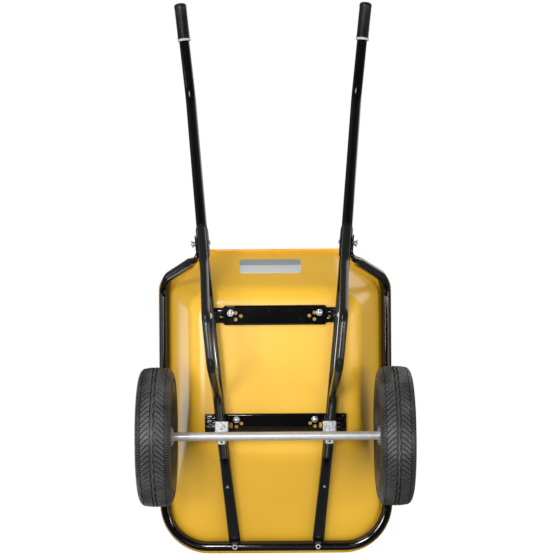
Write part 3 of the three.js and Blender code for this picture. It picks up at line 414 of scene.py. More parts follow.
def bent_path(corners, step=math.radians(4)):
    """Points of a path with straight runs and round bends; each corner is (point, radius)."""
    points = [Vector(corners[0][0])]
    for (before, _), (at, radius), (after, _) in zip(corners, corners[1:], corners[2:]):
        at = Vector(at)
        back, ahead = (Vector(before) - at).normalized(), (Vector(after) - at).normalized()
        turn = math.pi - back.angle(ahead)
        start = at + back * (radius * math.tan(turn / 2)) if radius else at
        middle = at + (back + ahead).normalized() * (radius / math.cos(turn / 2))
        steps = max(2, math.ceil(turn / step)) if radius else 0
        axis = ahead.cross(back).normalized()
        for k in range(steps + 1):
            swing = Matrix.Rotation(turn * k / max(1, steps), 3, axis)
            points.append(swing @ (start - middle) + middle)
    points.append(Vector(corners[-1][0]))
    return points


def filled_in(path, longest):
    """The same path with its long runs divided."""
    points = [path[0]]
    for a, b in zip(path, path[1:]):
        parts = max(1, math.ceil((b - a).length / longest))
        points += [a.lerp(b, (k + 1) / parts) for k in range(parts)]
    return points


def tube_rings(path, outline_at):
    """Rings along a path; outline_at(point) gives each ring's (across, up) points."""
    rings = []
    for i, point in enumerate(path):
        tangent = Vector()
        for a, b in ((i - 1, i), (i, i + 1)):
            if a >= 0 and b < len(path):
                tangent += (path[b] - path[a]).normalized()
        tangent.normalize()
        across = tangent.cross(UP).normalized()
        rise = across.cross(tangent)
        rings.append([point + across * s + rise * u for s, u in outline_at(point)])
    return rings


def hollow_mouth(rings, wall, depth):
    """Adds an open mouth at the last ring: its wall, then the bore as far as it is seen."""
    last, before = rings[-1], rings[-2]
    centre = sum(last, Vector()) / len(last)
    inward = (sum(before, Vector()) / len(before) - centre).normalized()
    radius = (last[0] - centre).length
    bore = [centre + (p - centre) * ((radius - wall) / radius) for p in last]
    return [*rings, bore, [p + inward * depth for p in bore]]


def turned(profile, count=64, closed=False):
    """A turned solid about X from (along, radius) points; a closed profile makes a ring."""
    rings = [[(along, c, s) for c, s in circle(max(radius, 0.02), count)] for along, radius in profile]
    return Shape().loft(rings, closed)


def mirrored_profile(half):
    """Both halves of a profile that is the same on each side of its middle."""
    return [*half, *[(-along, radius) for along, radius in reversed(half)]]


def stood_up(levels, count=24):
    """A solid about Z from (height, radius) or, for a hexagon, (height, radius, radius of its corners)."""
    rings = []
    for height, radius, *hexagon in levels:
        ring = []
        for i in range(count):
            angle = 2 * math.pi * i / count
            reach = radius
            for corners in hexagon:
                off = (angle + math.pi / 6) % (math.pi / 3) - math.pi / 6
                reach = min(radius, corners * math.cos(math.pi / 6) / math.cos(off))
            ring.append((reach * math.cos(angle), reach * math.sin(angle), height))
        rings.append(ring)
    return Shape().loft(rings)


# --- Geometry Nodes ---------------------------------------------------------------------------

SOCKETS = {
    "geometry": "NodeSocketGeometry",
    "object": "NodeSocketObject",
    "count": "NodeSocketInt",
    "size": "NodeSocketFloat",
    "material": "NodeSocketMaterial",
}


def geometry_tree(name, **inputs):
    """A Geometry Nodes tree with these named inputs, its builder, its input node and a way to end it."""
    tree = bpy.data.node_groups.new(name, "GeometryNodeTree")
    for label, kind in {"Geometry": "geometry", **inputs, "Material": "material"}.items():
        tree.interface.new_socket(label, in_out="INPUT", socket_type=SOCKETS[kind])
    tree.interface.new_socket("Geometry", in_out="OUTPUT", socket_type=SOCKETS["geometry"])
    nodes = Nodes(tree)
    given = nodes.add("NodeGroupInput")

    def end(geometry):
        real = nodes.add("GeometryNodeRealizeInstances", inputs={"Geometry": geometry})
        whole = nodes.add("GeometryNodeMergeByDistance", inputs={"Geometry": real, "Distance": 1e-6})
        painted = nodes.add(
            "GeometryNodeSetMaterial", inputs={"Geometry": whole, "Material": given.named("Material")}
        )
        nodes.add("NodeGroupOutput", inputs={"Geometry": painted})

    return tree, nodes, given, end


def grown(mesh, tree, values):
    """The plain mesh that the tree makes of a mesh, with its inputs set by identifier."""

    def dress(holder):
        modifier = holder.modifiers.new(tree.name, "NODES")
        modifier.node_group = tree
        for item in tree.interface.items_tree:
            if item.in_out == "INPUT" and item.name in values:
                modifier[item.identifier] = values[item.name]

    return evaluated(mesh, dress)


def template(shape, name):
    """A pattern object for a tree to repeat; it is removed when its row is made."""
    mesh = shape.mesh(name)
    outward(mesh)
    made = bpy.data.objects.new(name, mesh)
    bpy.context.scene.collection.objects.link(made)
    return made


def ring_tree():
    """Repeats a pattern round X and joins it to the mesh it is put on."""
    tree, nodes, given, end = geometry_tree("repeat_round_axle", Pattern="object", Count="count")
    points = nodes.add("GeometryNodePoints", inputs={"Count": given.named("Count")})
    index = nodes.add("GeometryNodeInputIndex")
    angle = index * (2 * math.pi) / given.named("Count")
    euler = nodes.add("ShaderNodeCombineXYZ", inputs={"X": angle})
    pattern = nodes.add("GeometryNodeObjectInfo", inputs={"Object": given.named("Pattern")}).named("Geometry")
    rotation = nodes.add("FunctionNodeEulerToRotation", inputs={"Euler": euler})
    copies = nodes.add(
        "GeometryNodeInstanceOnPoints", inputs={"Points": points, "Instance": pattern, "Rotation": rotation}
    )
    joined = nodes.add("GeometryNodeJoinGeometry", inputs={"Geometry": copies})
    nodes.feed(joined.socket.node.inputs["Geometry"], given.named("Geometry"))
    end(joined)
    return tree


def marks_tree():
    """Puts a pattern on each point, with its Z along the point's facing and its own turn and size."""
    tree, nodes, given, end = geometry_tree("pieces_on_marks", Pattern="object", Size="size")

    def attribute(name, kind):
        found = nodes.add("GeometryNodeInputNamedAttribute", {"data_type": kind}, {"Name": name})
        return found.named("Attribute")

    aligned = nodes.add(
        "FunctionNodeAlignRotationToVector", {"axis": "Z"}, {"Vector": attribute("facing", "FLOAT_VECTOR")}
    )
    spin = nodes.add("ShaderNodeCombineXYZ", inputs={"Z": attribute("turn", "FLOAT")})
    turn = nodes.add("FunctionNodeEulerToRotation", inputs={"Euler": spin})
    rotation = nodes.add(
        "FunctionNodeRotateRotation", {"rotation_space": "LOCAL"}, {"Rotation": aligned, "Rotate By": turn}
    )
    pattern = nodes.add("GeometryNodeObjectInfo", inputs={"Object": given.named("Pattern")}).named("Geometry")
    copies = nodes.add(
        "GeometryNodeInstanceOnPoints",
        inputs={
            "Points": given.named("Geometry"),
            "Instance": pattern,
            "Rotation": rotation,
            "Scale": given.named("Size"),
        },
    )
    end(copies)
    return tree


def weld_tree():
    """Lays overlapping beads along the edges of a mesh, each turned and sized a little differently."""
    tree, nodes, given, end = geometry_tree("weld_bead", Bead="size", Spacing="size")
    seam = nodes.add("GeometryNodeMeshToCurve", inputs={"Mesh": given.named("Geometry")})
    points = nodes.add(
        "GeometryNodeCurveToPoints", {"mode": "LENGTH"}, {"Curve": seam, "Length": given.named("Spacing")}
    )
    bead = nodes.add("GeometryNodeMeshIcoSphere", inputs={"Radius": given.named("Bead"), "Subdivisions": 2})
    size = nodes.add(
        "FunctionNodeRandomValue", {"data_type": "FLOAT"}, {2: 0.85, 3: 1.15, "Seed": 7}, output=1
    )
    rotation = points.named("Rotation")
    copies = nodes.add(
        "GeometryNodeInstanceOnPoints",
        inputs={"Points": points, "Instance": bead, "Rotation": rotation, "Scale": size},
    )
    end(copies)
    return tree


RING_TREE, MARKS_TREE, WELD_TREE = ring_tree(), marks_tree(), weld_tree()


def on_both_sides(name, pattern, point, facing, turn, material, slot, node=None):
    """One piece of two equal fasteners: one at a point in millimetres and its mirror image on the right."""
    ways = (1, -1)
    mesh = bpy.data.meshes.new(name)
    mesh.from_pydata([Vector((way * point[0], point[1], point[2])) * MILLIMETRE for way in ways], [], [])
    mesh.attributes.new("facing", "FLOAT_VECTOR", "POINT")
    mesh.attributes.new("turn", "FLOAT", "POINT")
    for i, way in enumerate(ways):
        mesh.attributes["facing"].data[i].vector = (way * facing[0], facing[1], facing[2])
        mesh.attributes["turn"].data[i].value = way * turn
    source = template(pattern, "pattern")
    made = grown(mesh, MARKS_TREE, {"Pattern": source, "Size": 1.0, "Material": material})
    bpy.data.objects.remove(source)
    nodes = [f"{node}_left", f"{node}_right"] if node else []
    finished(name, made, material, "root", slot, *nodes)


# --- Frame tubes ------------------------------------------------------------------------------


def nose_outline(point):
    """The main tube's section: round, then pinched flat, then tapered to an eyelet round its bolt."""
    ahead = -point.y
    flat = share_of(ahead, 302, 344)
    half = mix(mix(MAIN_RADIUS, 18, flat), NOSE_EYE, share_of(ahead, 349, 371))
    over = ahead + NOSE_BAR
    if over > 0:
        half = math.sqrt(max(1.0, NOSE_EYE**2 - over**2))
    return oval(half, mix(MAIN_RADIUS, TONGUE_SHEET / 2, flat), mix(2, 3.4, flat))


def main_tube():
    tongue = TONGUE_TOP - TONGUE_SHEET / 2
    path = bent_path(
        [
            ((rail_half(HANDLE_END), HANDLE_END, HANDLE_HEIGHT), 0),
            ((rail_half(HANDLE_BEND), HANDLE_BEND, HANDLE_HEIGHT), 130),
            ((rail_half(REAR_BEND), REAR_BEND, CHASSIS_HEIGHT), 130),
            ((rail_half(FRONT_BEND), FRONT_BEND, CHASSIS_HEIGHT), 100),
            ((NOSE_HALF + 0.5, TONGUE_BEND, tongue), 52),
            ((NOSE_HALF, NOSE_BAR - NOSE_EYE + 0.1, tongue), 0),
        ]
    )
    nose = [p for p in path if p.y < FRONT_BEND - 60]
    rest = path[: len(path) - len(nose)]
    return Shape().loft(tube_rings([*rest, *filled_in(nose, 4)], nose_outline))


def leg_path():
    offset = MAIN_RADIUS + GAP + LEG_RADIUS
    drop = offset / math.cos(HANDLE_SLOPE)
    lead = offset * math.sin(HANDLE_SLOPE) - 20
    top_end, knee = SADDLE_REAR + lead, SADDLE_FRONT + lead
    corners = [
        (top_end, slope_height(top_end) - drop, 0),
        (knee, slope_height(knee) - drop, 60),
        (349, LEG_RADIUS, 40),
        (211, LEG_RADIUS, 40),
        (113, LEG_LEVEL, 40),
        (-66, LEG_LEVEL, 0),
    ]
    return bent_path([((rail_half(y), y, z), radius) for y, z, radius in corners])


def leg_tube():
    outline = circle(LEG_RADIUS, 32)
    rings = tube_rings(leg_path(), lambda point: outline)
    rings = hollow_mouth(rings[::-1], TUBE_WALL, 30)
    return Shape().loft(rings).join(saddle())


def rail_frame(y):
    """Along, across and up of the main tube on its slope, with its axis point at y."""
    a = Vector((rail_half(y - 1), y - 1, slope_height(y - 1)))
    b = Vector((rail_half(y + 1), y + 1, slope_height(y + 1)))
    along = (b - a).normalized()
    across = along.cross(UP).normalized()
    return (a + b) / 2, along, across, across.cross(along)


def saddle():
    """The half-round seat under the main tube, with its ends rounded off."""
    start, along, across, rise = rail_frame(SADDLE_FRONT)
    length = (SADDLE_REAR - SADDLE_FRONT) / math.cos(HANDLE_SLOPE)
    inner = MAIN_RADIUS + GAP
    reach, count = math.radians(88), 18
    rings = []
    for s in [0, 2, 6, 12, length / 2, length - 12, length - 6, length - 2, length]:
        ring = []
        for radius, order in ((inner + SHEET, 1), (inner, -1)):
            for i in range(count + 1):
                angle = order * mix(-reach, reach, i / count)
                pull = 22 * abs(angle / reach) ** 3
                at = mix(pull, length - pull, s / length)
                side = across * math.sin(angle) - rise * math.cos(angle)
                ring.append(start + along * at + side * radius)
        rings.append(ring)
    return Shape().loft(rings)


def rim_tube():
    """One hoop under the tray's rim whose ends drop, flatten and lie along the saddles."""
    bolt, along, across, _ = rail_frame(LEG_BOLT)
    bolt = bolt + across * (MAIN_RADIUS + SHEET + 2 * GAP + 2)
    side = TRAY_HALF_WIDTH - TRAY_SHEET - GAP - RIM_TUBE_RADIUS
    half = [
        (bolt + along * 22, 0),
        (bolt - along * 52, 14),
        (Vector((side, 449, RIM_TUBE_HEIGHT)), 70),
        (Vector((side, NOSE_BAR, RIM_TUBE_HEIGHT)), 133),
    ]
    mirrored = [(Vector((-p.x, p.y, p.z)), radius) for p, radius in reversed(half)]
    path = bent_path([*half, *mirrored])
    ends = 34
    path = filled_in(path[:ends], 4) + path[ends:-ends] + filled_in(path[-ends:], 4)

    def outline(point):
        flat = 1 - share_of((Vector((abs(point.x), point.y, point.z)) - bolt).length, 34, 62)
        return oval(mix(RIM_TUBE_RADIUS, 2, flat), mix(RIM_TUBE_RADIUS, 13, flat), mix(2, 4, flat))

    return Shape().loft(tube_rings(path, outline))


def weld_seam():
    """Where the saddle is welded to the leg, as a line round the joint."""
    start, along, across, rise = rail_frame(SADDLE_FRONT)
    length = (SADDLE_REAR - SADDLE_FRONT) / math.cos(HANDLE_SLOPE)
    radius = MAIN_RADIUS + GAP + SHEET + 0.5
    points = []
    for way in (1, -1):
        for i in range(24):
            angle = way * math.radians(34)
            at = mix(14, length - 8, i / 23) if way > 0 else mix(length - 8, 14, i / 23)
            points.append(start + along * at + (across * math.sin(angle) - rise * math.cos(angle)) * radius)
    mesh = bpy.data.meshes.new("seam")
    edges = [(i, (i + 1) % len(points)) for i in range(len(points))]
    mesh.from_pydata([p * MILLIMETRE for p in points], edges, [])
    return mesh


def make_frame_tubes():
    pair("main_tube", main_tube, BLACK, "black_gloss_paint")
    pair("leg_tube", leg_tube, LEG_BLACK, "black_gloss_paint")
    finished("rim_tube", rim_tube().mesh("rim_tube"), BLACK, "root", "black_gloss_paint", "rim_tube")
    for side, mirror in (("left", False), ("right", True)):
        bead = grown(weld_seam(), WELD_TREE, {"Bead": 0.0024, "Spacing": 0.0032, "Material": BLACK})
        finished(f"saddle_weld_{side}", bead, BLACK, "root", "black_gloss_paint", mirror=mirror)


# --- Cross-braces -----------------------------------------------------------------------------


def pressed_corner(half, corner, steps):
    """The outside and the inside of a pressed sheet's bend, from its upright side to its web."""
    angles = [math.pi * (1 + i / (2 * steps)) for i in range(steps + 1)]
    return [
        [(-half + corner + reach * math.cos(a), corner + reach * math.sin(a)) for a in angles]
        for reach in (corner, corner - SHEET)
    ]


def channel_ring(x, half, beads):
    """A pressed channel's closed section at x: a web with embossed beads and two upright sides."""
    corner = 5.0
    outer, inner = pressed_corner(half, corner, 6)
    web = [mix(-half + corner, half - corner, k / 28) for k in range(1, 28)]
    for y in web:
        sink = sum(height * math.exp(-(((y - at) / 2.6) ** 2)) for at, height in beads)
        outer.append((y, -sink))
        inner.append((y, SHEET - sink))
    outer += [(-y, z) for y, z in reversed(outer[:7])]
    inner += [(-y, z) for y, z in reversed(inner[:7])]
    top = BRACE_DEPTH
    outline = [(-half, top), *outer, (half, top), (half - SHEET, top), *reversed(inner), (-half + SHEET, top)]
    return [(x, y, z) for y, z in outline]


def brace(place, length, body, width, end_width, end_beads, holes):
    """A brace whose ends are narrower and carry beads; holes are (x, y, radius, half-length along Y)."""
    taper = (width - end_width) / 2
    stops = [(length / 2, 1.0), (body / 2 + taper + 8, 1.0), (body / 2 + taper, 0.0), (body / 2, 0.0)]
    rings = []
    for x, ends in [*stops, (60, 0.0), (-60, 0.0), *[(-x, e) for x, e in reversed(stops)]]:
        half = width / 2 if abs(x) <= body / 2 else end_width / 2
        rings.append(channel_ring(x, half, [(at, height * ends) for at, height in end_beads]))
    shape = Shape().loft(rings)
    tools = Shape()
    for x, y, radius, slot in holes:
        for way in (1, -1):
            outline = [(a, b + math.copysign(slot, b)) for a, b in circle(radius, 20, 0.05)]
            hole = Shape().loft([[(a, b, z) for a, b in outline] for z in (-20, 20)])
            tools.join(hole, Matrix.Translation((way * x, y - place, 0)))
    mesh = drilled(shape.mesh("brace"), tools, 0.5)
    mesh.transform(Matrix.Translation(Vector((0, place, BRACE_BOTTOM)) * MILLIMETRE))
    return mesh


def make_braces():
    bx, by = REAR_TRAY_BOLT
    holes = [(bx, by, BOLT_HOLE, 0), (bx - 15, by, 5.5, 0), (bx - 30, by - 9, 5.5, 0)]
    holes += [(bx - 15, by - 19, 5.5, 0), (bx + 29, by - 11, 3.5, 0)]
    holes += [(rail_half(REAR_BRACE), REAR_BRACE, BOLT_HOLE, 0)]
    rear = brace(REAR_BRACE, 400, 290, 58, 45, [(9, 1.6), (-10, 1.0)], holes)
    finished("cross_brace_rear", rear, BLACK, "root", "black_gloss_paint", "cross_brace_rear")
    fx, fy = FRONT_TRAY_BOLT
    holes = [(fx, fy, BOLT_HOLE, 0), (fx - 14, fy - 11, 5.5, 0), (fx, fy - 20, 5.5, 0)]
    holes += [(fx + 16, fy - 16.5, 5, 3.5), (rail_half(FRONT_BRACE), FRONT_BRACE, BOLT_HOLE, 0)]
    beads = [(14, 1.6), (2, 1.6), (-10, 1.6)]
    front = brace(FRONT_BRACE, 412, 320, 55, 54, beads, holes)
    finished("cross_brace_front", front, BLACK, "root", "black_gloss_paint", "cross_brace_front")


# --- Tray -------------------------------------------------------------------------------------

RIM_LINE = dict(
    half=TRAY_HALF_WIDTH, rear=543, rear_half=216, corner_at=455, nose=-397, nose_radius=154, rear_radius=70
)
WALL_LINE = dict(half=325, rear=535, rear_half=190, corner_at=432, nose=-363, nose_radius=120, rear_radius=66)
FLOOR_LINE = dict(half=246, rear=418, rear_half=195, corner_at=380, nose=-64, nose_radius=140, rear_radius=60)
TRAY_LIP = 9


def tray_line(half, rear, rear_half, corner_at, nose, nose_radius, rear_radius):
    """Six-cornered plan line with round corners, as points that match from line to line."""
    right = [
        (Vector((rear_half, rear, 0)), rear_radius),
        (Vector((half, corner_at, 0)), rear_radius),
        (Vector((half, nose, 0)), nose_radius),
    ]
    corners = [*right, *[(Vector((-p.x, p.y, 0)), radius) for p, radius in reversed(right)]]
    points = []
    for i, (at, radius) in enumerate(corners):
        back = (corners[i - 1][0] - at).normalized()
        ahead = (corners[(i + 1) % 6][0] - at).normalized()
        turn = math.pi - back.angle(ahead)
        start = at + back * (radius * math.tan(turn / 2))
        middle = at + (back + ahead).normalized() * (radius / math.cos(turn / 2))
        for k in range(15):
            points.append(Matrix.Rotation(-turn * k / 14, 3, "Z") @ (start - middle) + middle)
    return [
        point
        for i, a in enumerate(points)
        for point in (a, *[a.lerp(points[(i + 1) % len(points)], k / 8) for k in range(1, 8) if i % 15 == 14])
    ]


def shrunk(line, by):
    return dict(
        half=line["half"] - by,
        rear=line["rear"] - by,
        rear_half=line["rear_half"] - by / 2,
        corner_at=line["corner_at"] - by / 2,
        nose=line["nose"] + by,
        nose_radius=line["nose_radius"] - by,
        rear_radius=line["rear_radius"] - by / 2,
    )


def at_height(line, height):
    return [Vector((p.x, p.y, height)) for p in tray_line(**line)]


def rounded(points, reaches, steps=7):
    """A polyline with each inner corner turned into a smooth curve that reaches so far each way."""
    path = [points[0]]
    for before, at, after, reach in zip(points, points[1:], points[2:], reaches):
        a = at + (before - at).normalized() * min(reach, (before - at).length * 0.48)
        b = at + (after - at).normalized() * min(reach, (after - at).length * 0.48)
        for k in range(steps + 1):
            t = k / steps
            path.append(a.lerp(at, t).lerp(at.lerp(b, t), t))
    path.append(points[-1])
    return path


def tray_side(lines, reaches):
    """Rings of one face of the tray, from near the middle of the floor out to the lip's edge."""
    centre = Vector((0, 150, lines[0][0].z))
    columns = []
    for column in zip(*lines):
        inner = column[0].lerp(centre, 0.4)
        columns.append(rounded([inner, *column], reaches))
    return [list(ring) for ring in zip(*columns)]


def tray():
    lip = FLANGE_UNDERSIDE - TRAY_LIP
    under = tray_side(
        [
            at_height(FLOOR_LINE, TRAY_FLOOR_HEIGHT),
            at_height(WALL_LINE, FLANGE_UNDERSIDE),
            at_height(shrunk(RIM_LINE, TRAY_SHEET), FLANGE_UNDERSIDE),
            at_height(shrunk(RIM_LINE, TRAY_SHEET), lip),
        ],
        [44, 14, 2.4],
    )
    over = tray_side(
        [
            at_height(shrunk(FLOOR_LINE, TRAY_SHEET), TRAY_FLOOR_HEIGHT + TRAY_SHEET),
            at_height(shrunk(WALL_LINE, 1.2 * TRAY_SHEET), TRAY_RIM_HEIGHT),
            at_height(RIM_LINE, TRAY_RIM_HEIGHT),
            at_height(RIM_LINE, lip),
        ],
        [44, 14, 4],
    )
    return Shape().loft([*under, *reversed(over)])


def make_tray():
    tools = Shape()
    for x, y in (REAR_TRAY_BOLT, FRONT_TRAY_BOLT):
        for way in (1, -1):
            hole = stood_up([(-20, BOLT_HOLE), (20, BOLT_HOLE)], 20)
            tools.join(hole, Matrix.Translation((way * x, y, TRAY_FLOOR_HEIGHT)))
    finished("tray", drilled(tray().mesh("tray"), tools), YELLOW, "root", "yellow_paint", "tray")


def label():
    """The blank maker's plate, with rounded corners and a raised border."""
    width, height, down, aside = 185, 107, 66, 13
    lean = math.atan2(WALL_LINE["rear"] - FLOOR_LINE["rear"], FLANGE_UNDERSIDE - TRAY_FLOOR_HEIGHT)
    place = Matrix.Translation((aside, WALL_LINE["rear"], FLANGE_UNDERSIDE)) @ Matrix.Rotation(-lean, 4, "X")

    def plate(inset, low, high):
        outline, trimmed = [oval(width / 2 - by, height / 2 - by, 16, 96) for by in (inset, inset + 0.3)]
        levels = ((low, outline), (high - 0.2, outline), (high, trimmed))
        return [[(x, y, z - down - height / 2) for x, z in points] for y, points in levels]

    shape = Shape().loft(plate(0, GAP, GAP + 0.8))
    border = [plate(inset, 1.0, 1.4)[-1] for inset in (3.5, 4.9)]
    sunk = [[(x, 0.9, z) for x, _, z in ring] for ring in border]
    shape.loft([sunk[0], border[0], border[1], sunk[1]], closed=True)
    return Shape().join(shape, place)


# --- Wheels -----------------------------------------------------------------------------------

TREAD_PITCHES = 40
TREAD_TOP = 198.9
PITCH = 2 * math.pi * TREAD_TOP / TREAD_PITCHES
CARCASS = [
    (0, 192), (16, 191.6), (28, 190), (36, 187), (42, 182.5), (46, 176), (47.6, 171), (48.6, 169.4),
    (49.2, 168), (49.6, 160), (49.4, 151), (48.6, 143), (49.1, 141.6), (48.8, 140), (46.5, 131),
    (43, 124), (38.5, 117), (34.5, 112.5), (32.1, 109.5), (32, 104),
]
CARCASS_INSIDE = [
    (24, 104), (25, 110), (32, 118), (39, 132), (41.5, 150), (40, 166), (32, 178), (16, 183), (0, 184),
]
SHOULDER = [
    (34.5, 195.6, 6), (39, 193, 5.4), (43, 189, 4.6), (46, 183.6, 3.8), (48, 177.6, 3), (49.2, 172.5, 1.6),
]


def on_tread(across, around, radius):
    """A point of the tyre from its distance across, its distance round and its radius."""
    angle = around / TREAD_TOP
    return (across, radius * math.sin(angle), -radius * math.cos(angle))


def crown(across):
    return TREAD_TOP - 0.0029 * across**2


def lug(way, start, end):
    """A curved, slanted lug between the middle groove and the shoulder."""
    columns = [6.8, 12, 18, 24, 29, 33]
    low, high = [[(u, v - 22 * ((u - 6.8) / 26.2) ** 1.4) for u in columns] for v in (start, end)]
    rings = []
    for trim, sink in ((0, 8), (0, 1.2), (1, 0)):
        inset = 0.9 * trim
        ring = [(mix(u, 20, 0.045 * trim), v + inset) for u, v in low]
        ring += [(mix(u, 20, 0.045 * trim), v - inset) for u, v in reversed(high)]
        rings.append([on_tread(way * u, v, crown(u) - sink) for u, v in ring])
    return Shape().loft(rings)


def shoulder_bar(way, start, end):
    """One of the fine bars that wrap over the shoulder."""
    rings = []
    for j, (across, radius, height) in enumerate(SHOULDER):
        lean = -23 - 1.5 * j
        tilt = j / (len(SHOULDER) - 1)
        deep_across, deep_radius = across - height * tilt, radius - height * (1 - 0.7 * tilt)
        rings.append(
            [
                on_tread(way * deep_across, start + lean, deep_radius),
                on_tread(way * across, start + lean + 0.5, radius),
                on_tread(way * across, end + lean - 0.5, radius),
                on_tread(way * deep_across, end + lean, deep_radius),
            ]
        )
    return Shape().loft(rings)


def middle_rib():
    """One pitch of the zigzag rib, open at both ends so that the pitches meet."""
    rings = []
    for k, shift in enumerate((-1.8, -0.9, 0.9, 1.8, 0.9, -0.9, -1.8)):
        around = PITCH * k / 6
        section = [(-3.1, 8), (-2.6, 0.6), (-2.1, 0), (2.1, 0), (2.6, 0.6), (3.1, 8)]
        rings.append([on_tread(u + shift, around, TREAD_TOP - sink) for u, sink in section])
    return Shape().loft(rings, capped=False)


def knurl(way, around):
    """A small rib of the knurled band under the shoulder."""
    rings = []
    for across, radius in ((49.1, 168.2), (49.9, 165), (49.9, 158), (49.2, 155)):
        spread = 0.9
        rings.append(
            [
                on_tread(way * (across - 1.2), around - spread, radius),
                on_tread(way * (across + 0.35), around, radius),
                on_tread(way * (across - 1.2), around + spread, radius),
            ]
        )
    return Shape().loft(rings)


def tread_pitch():
    pitch = middle_rib()
    for way in (1, -1):
        for k in range(2):
            pitch.join(lug(way, PITCH * k / 2 + 1, PITCH * (k + 1) / 2 - 1.4))
        for k in range(4):
            pitch.join(shoulder_bar(way, PITCH * k / 4 + 1.2, PITCH * (k + 1) / 4 - 1))
        for k in range(7):
            pitch.join(knurl(way, PITCH * k / 7))
    return pitch


def tyre_mesh():
    outside = [*reversed(CARCASS), *[(-a, r) for a, r in CARCASS[1:]]]
    inside = [*[(-a, r) for a, r in CARCASS_INSIDE], *[(a, r) for a, r in reversed(CARCASS_INSIDE[:-1])]]
    body = turned([*outside, *inside], 4 * TREAD_PITCHES, closed=True).mesh("carcass")
    source = template(tread_pitch(), "pitch")
    mesh = grown(body, RING_TREE, {"Pattern": source, "Count": TREAD_PITCHES, "Material": TYRE})
    bpy.data.objects.remove(source)
    return mesh


RIM_HALF_OUTSIDE = [(35.6, 111.6), (35.2, 112.8), (33.8, 113.2), (32.5, 112), (32.3, 105.4), (30.6, 103.7)]
RIM_HALF_OUTSIDE += [(16, 103.2), (14.6, 102), (12.4, 91.4), (10.4, 89.7)]
RIM_HALF_UNDER = [(35.6, 101.2), (34.6, 100.2), (18, 99.9), (16.4, 98.4), (14, 88), (12, 86.7), (5.2, 86.5)]
RIM_HALF_UNDER += [(3, 84), (3, 74), (5.4, 71.4), (5.4, 64.6), (3, 62), (3, 27.4)]


def rim_mesh():
    """The steel rim: curled lips, a drop centre and a web with a pressed ring, bolted to the hub."""
    outside = mirrored_profile(RIM_HALF_OUTSIDE)
    under = [*[(-a, r) for a, r in RIM_HALF_UNDER], *reversed(RIM_HALF_UNDER)]
    body = turned([*outside, *under], 96, closed=True).mesh("rim")
    bolts = Shape()
    upright = Matrix.Rotation(math.pi / 2, 4, "Y")
    for way in (1, -1):
        head = stood_up([(-3, 6, 6), (2.6, 6, 6), (3.6, 5.2, 6), (3.8, 2)], 24)
        turn = Matrix.Rotation(0 if way > 0 else math.pi, 4, "Y")
        bolts.join(head, Matrix.Translation((way * 6.2, 0, 38)) @ turn @ upright)
    source = template(bolts, "rim_bolt")
    mesh = grown(body, RING_TREE, {"Pattern": source, "Count": 5, "Material": RIM_BLACK})
    bpy.data.objects.remove(source)
    return mesh


def hub_mesh():
    """A hub barrel with end collars that seat the bearings and a bolted flange on each side of the web."""
    half = [(HUB_HALF, 23.8), (HUB_HALF, 26.2), (HUB_HALF - 0.8, 27), (32, 27), (30.5, 25), (12, 24)]
    half += [(8.5, 26.5), (6.3, 30), (6.3, 45.2), (5.6, 46), (3.4, 46), (3.3, 45), (3.3, 27.2), (0.2, 27.2)]
    bore = [(32, 23.8), (32, 16.5)]
    section = [*mirrored_profile(half), *[(-a, r) for a, r in bore], *reversed(bore)]
    return turned(section, 64, closed=True).mesh("hub")


def bearing(middle):
    """A shielded ball bearing: two races with a sunk shield between them on each face."""
    face = [(5.5, 23.2), (5.5, 20.9), (4.9, 20.7), (4.9, 16.4), (5.5, 16.2), (5.5, 13.1)]
    section = [(5.2, 23.5), *face, (5.2, 12.8)]
    return turned([(middle + a, r) for a, r in mirrored_profile(section)], 64, closed=True)


def valve(way):
    """The valve: a foot, a threaded stem and a cap."""
    rings = [(62, 2.6), (62.6, 3.6), (63.5, 4), (70, 4), (71, 3.7), (71, 3)]
    for k in range(8):
        rings += [(72 + 1.4 * k, 2.7), (72.7 + 1.4 * k, 3.1)]
    rings += [(84, 3.2), (84.2, 4), (101, 4.2), (103.5, 4.2), (104.5, 4.2), (125, 4)]
    return Shape().join(stood_up(rings), Matrix.Translation((way * VALVE_ASIDE, 0, 0)))


def make_wheel(side, way):
    centre = Matrix.Translation(Vector((way * WHEEL_MIDDLE, 0, AXLE_HEIGHT)) * MILLIMETRE)

    def fit(name, mesh, material, slot):
        mesh.transform(centre)
        finished(f"{name}_{side}", mesh, material, f"wheel_{side}", slot, f"{name}_{side}")

    fit("tyre", tyre_mesh(), TYRE, "tyre_rubber")
    fit("wheel_rim", rim_mesh(), RIM_BLACK, "black_rim_paint")
    fit("hub", hub_mesh(), ZINC, "zinc_plate")
    fit("bearing_outer", bearing(way * BEARING_MIDDLE).mesh("bearing"), STEEL, "bright_steel")
    fit("bearing_inner", bearing(-way * BEARING_MIDDLE).mesh("bearing"), STEEL, "bright_steel")
    fit("valve", valve(way).mesh("valve"), STEEL, "zinc_plate")


# --- Axle -------------------------------------------------------------------------------------

HUB_FACE = WHEEL_MIDDLE + HUB_HALF


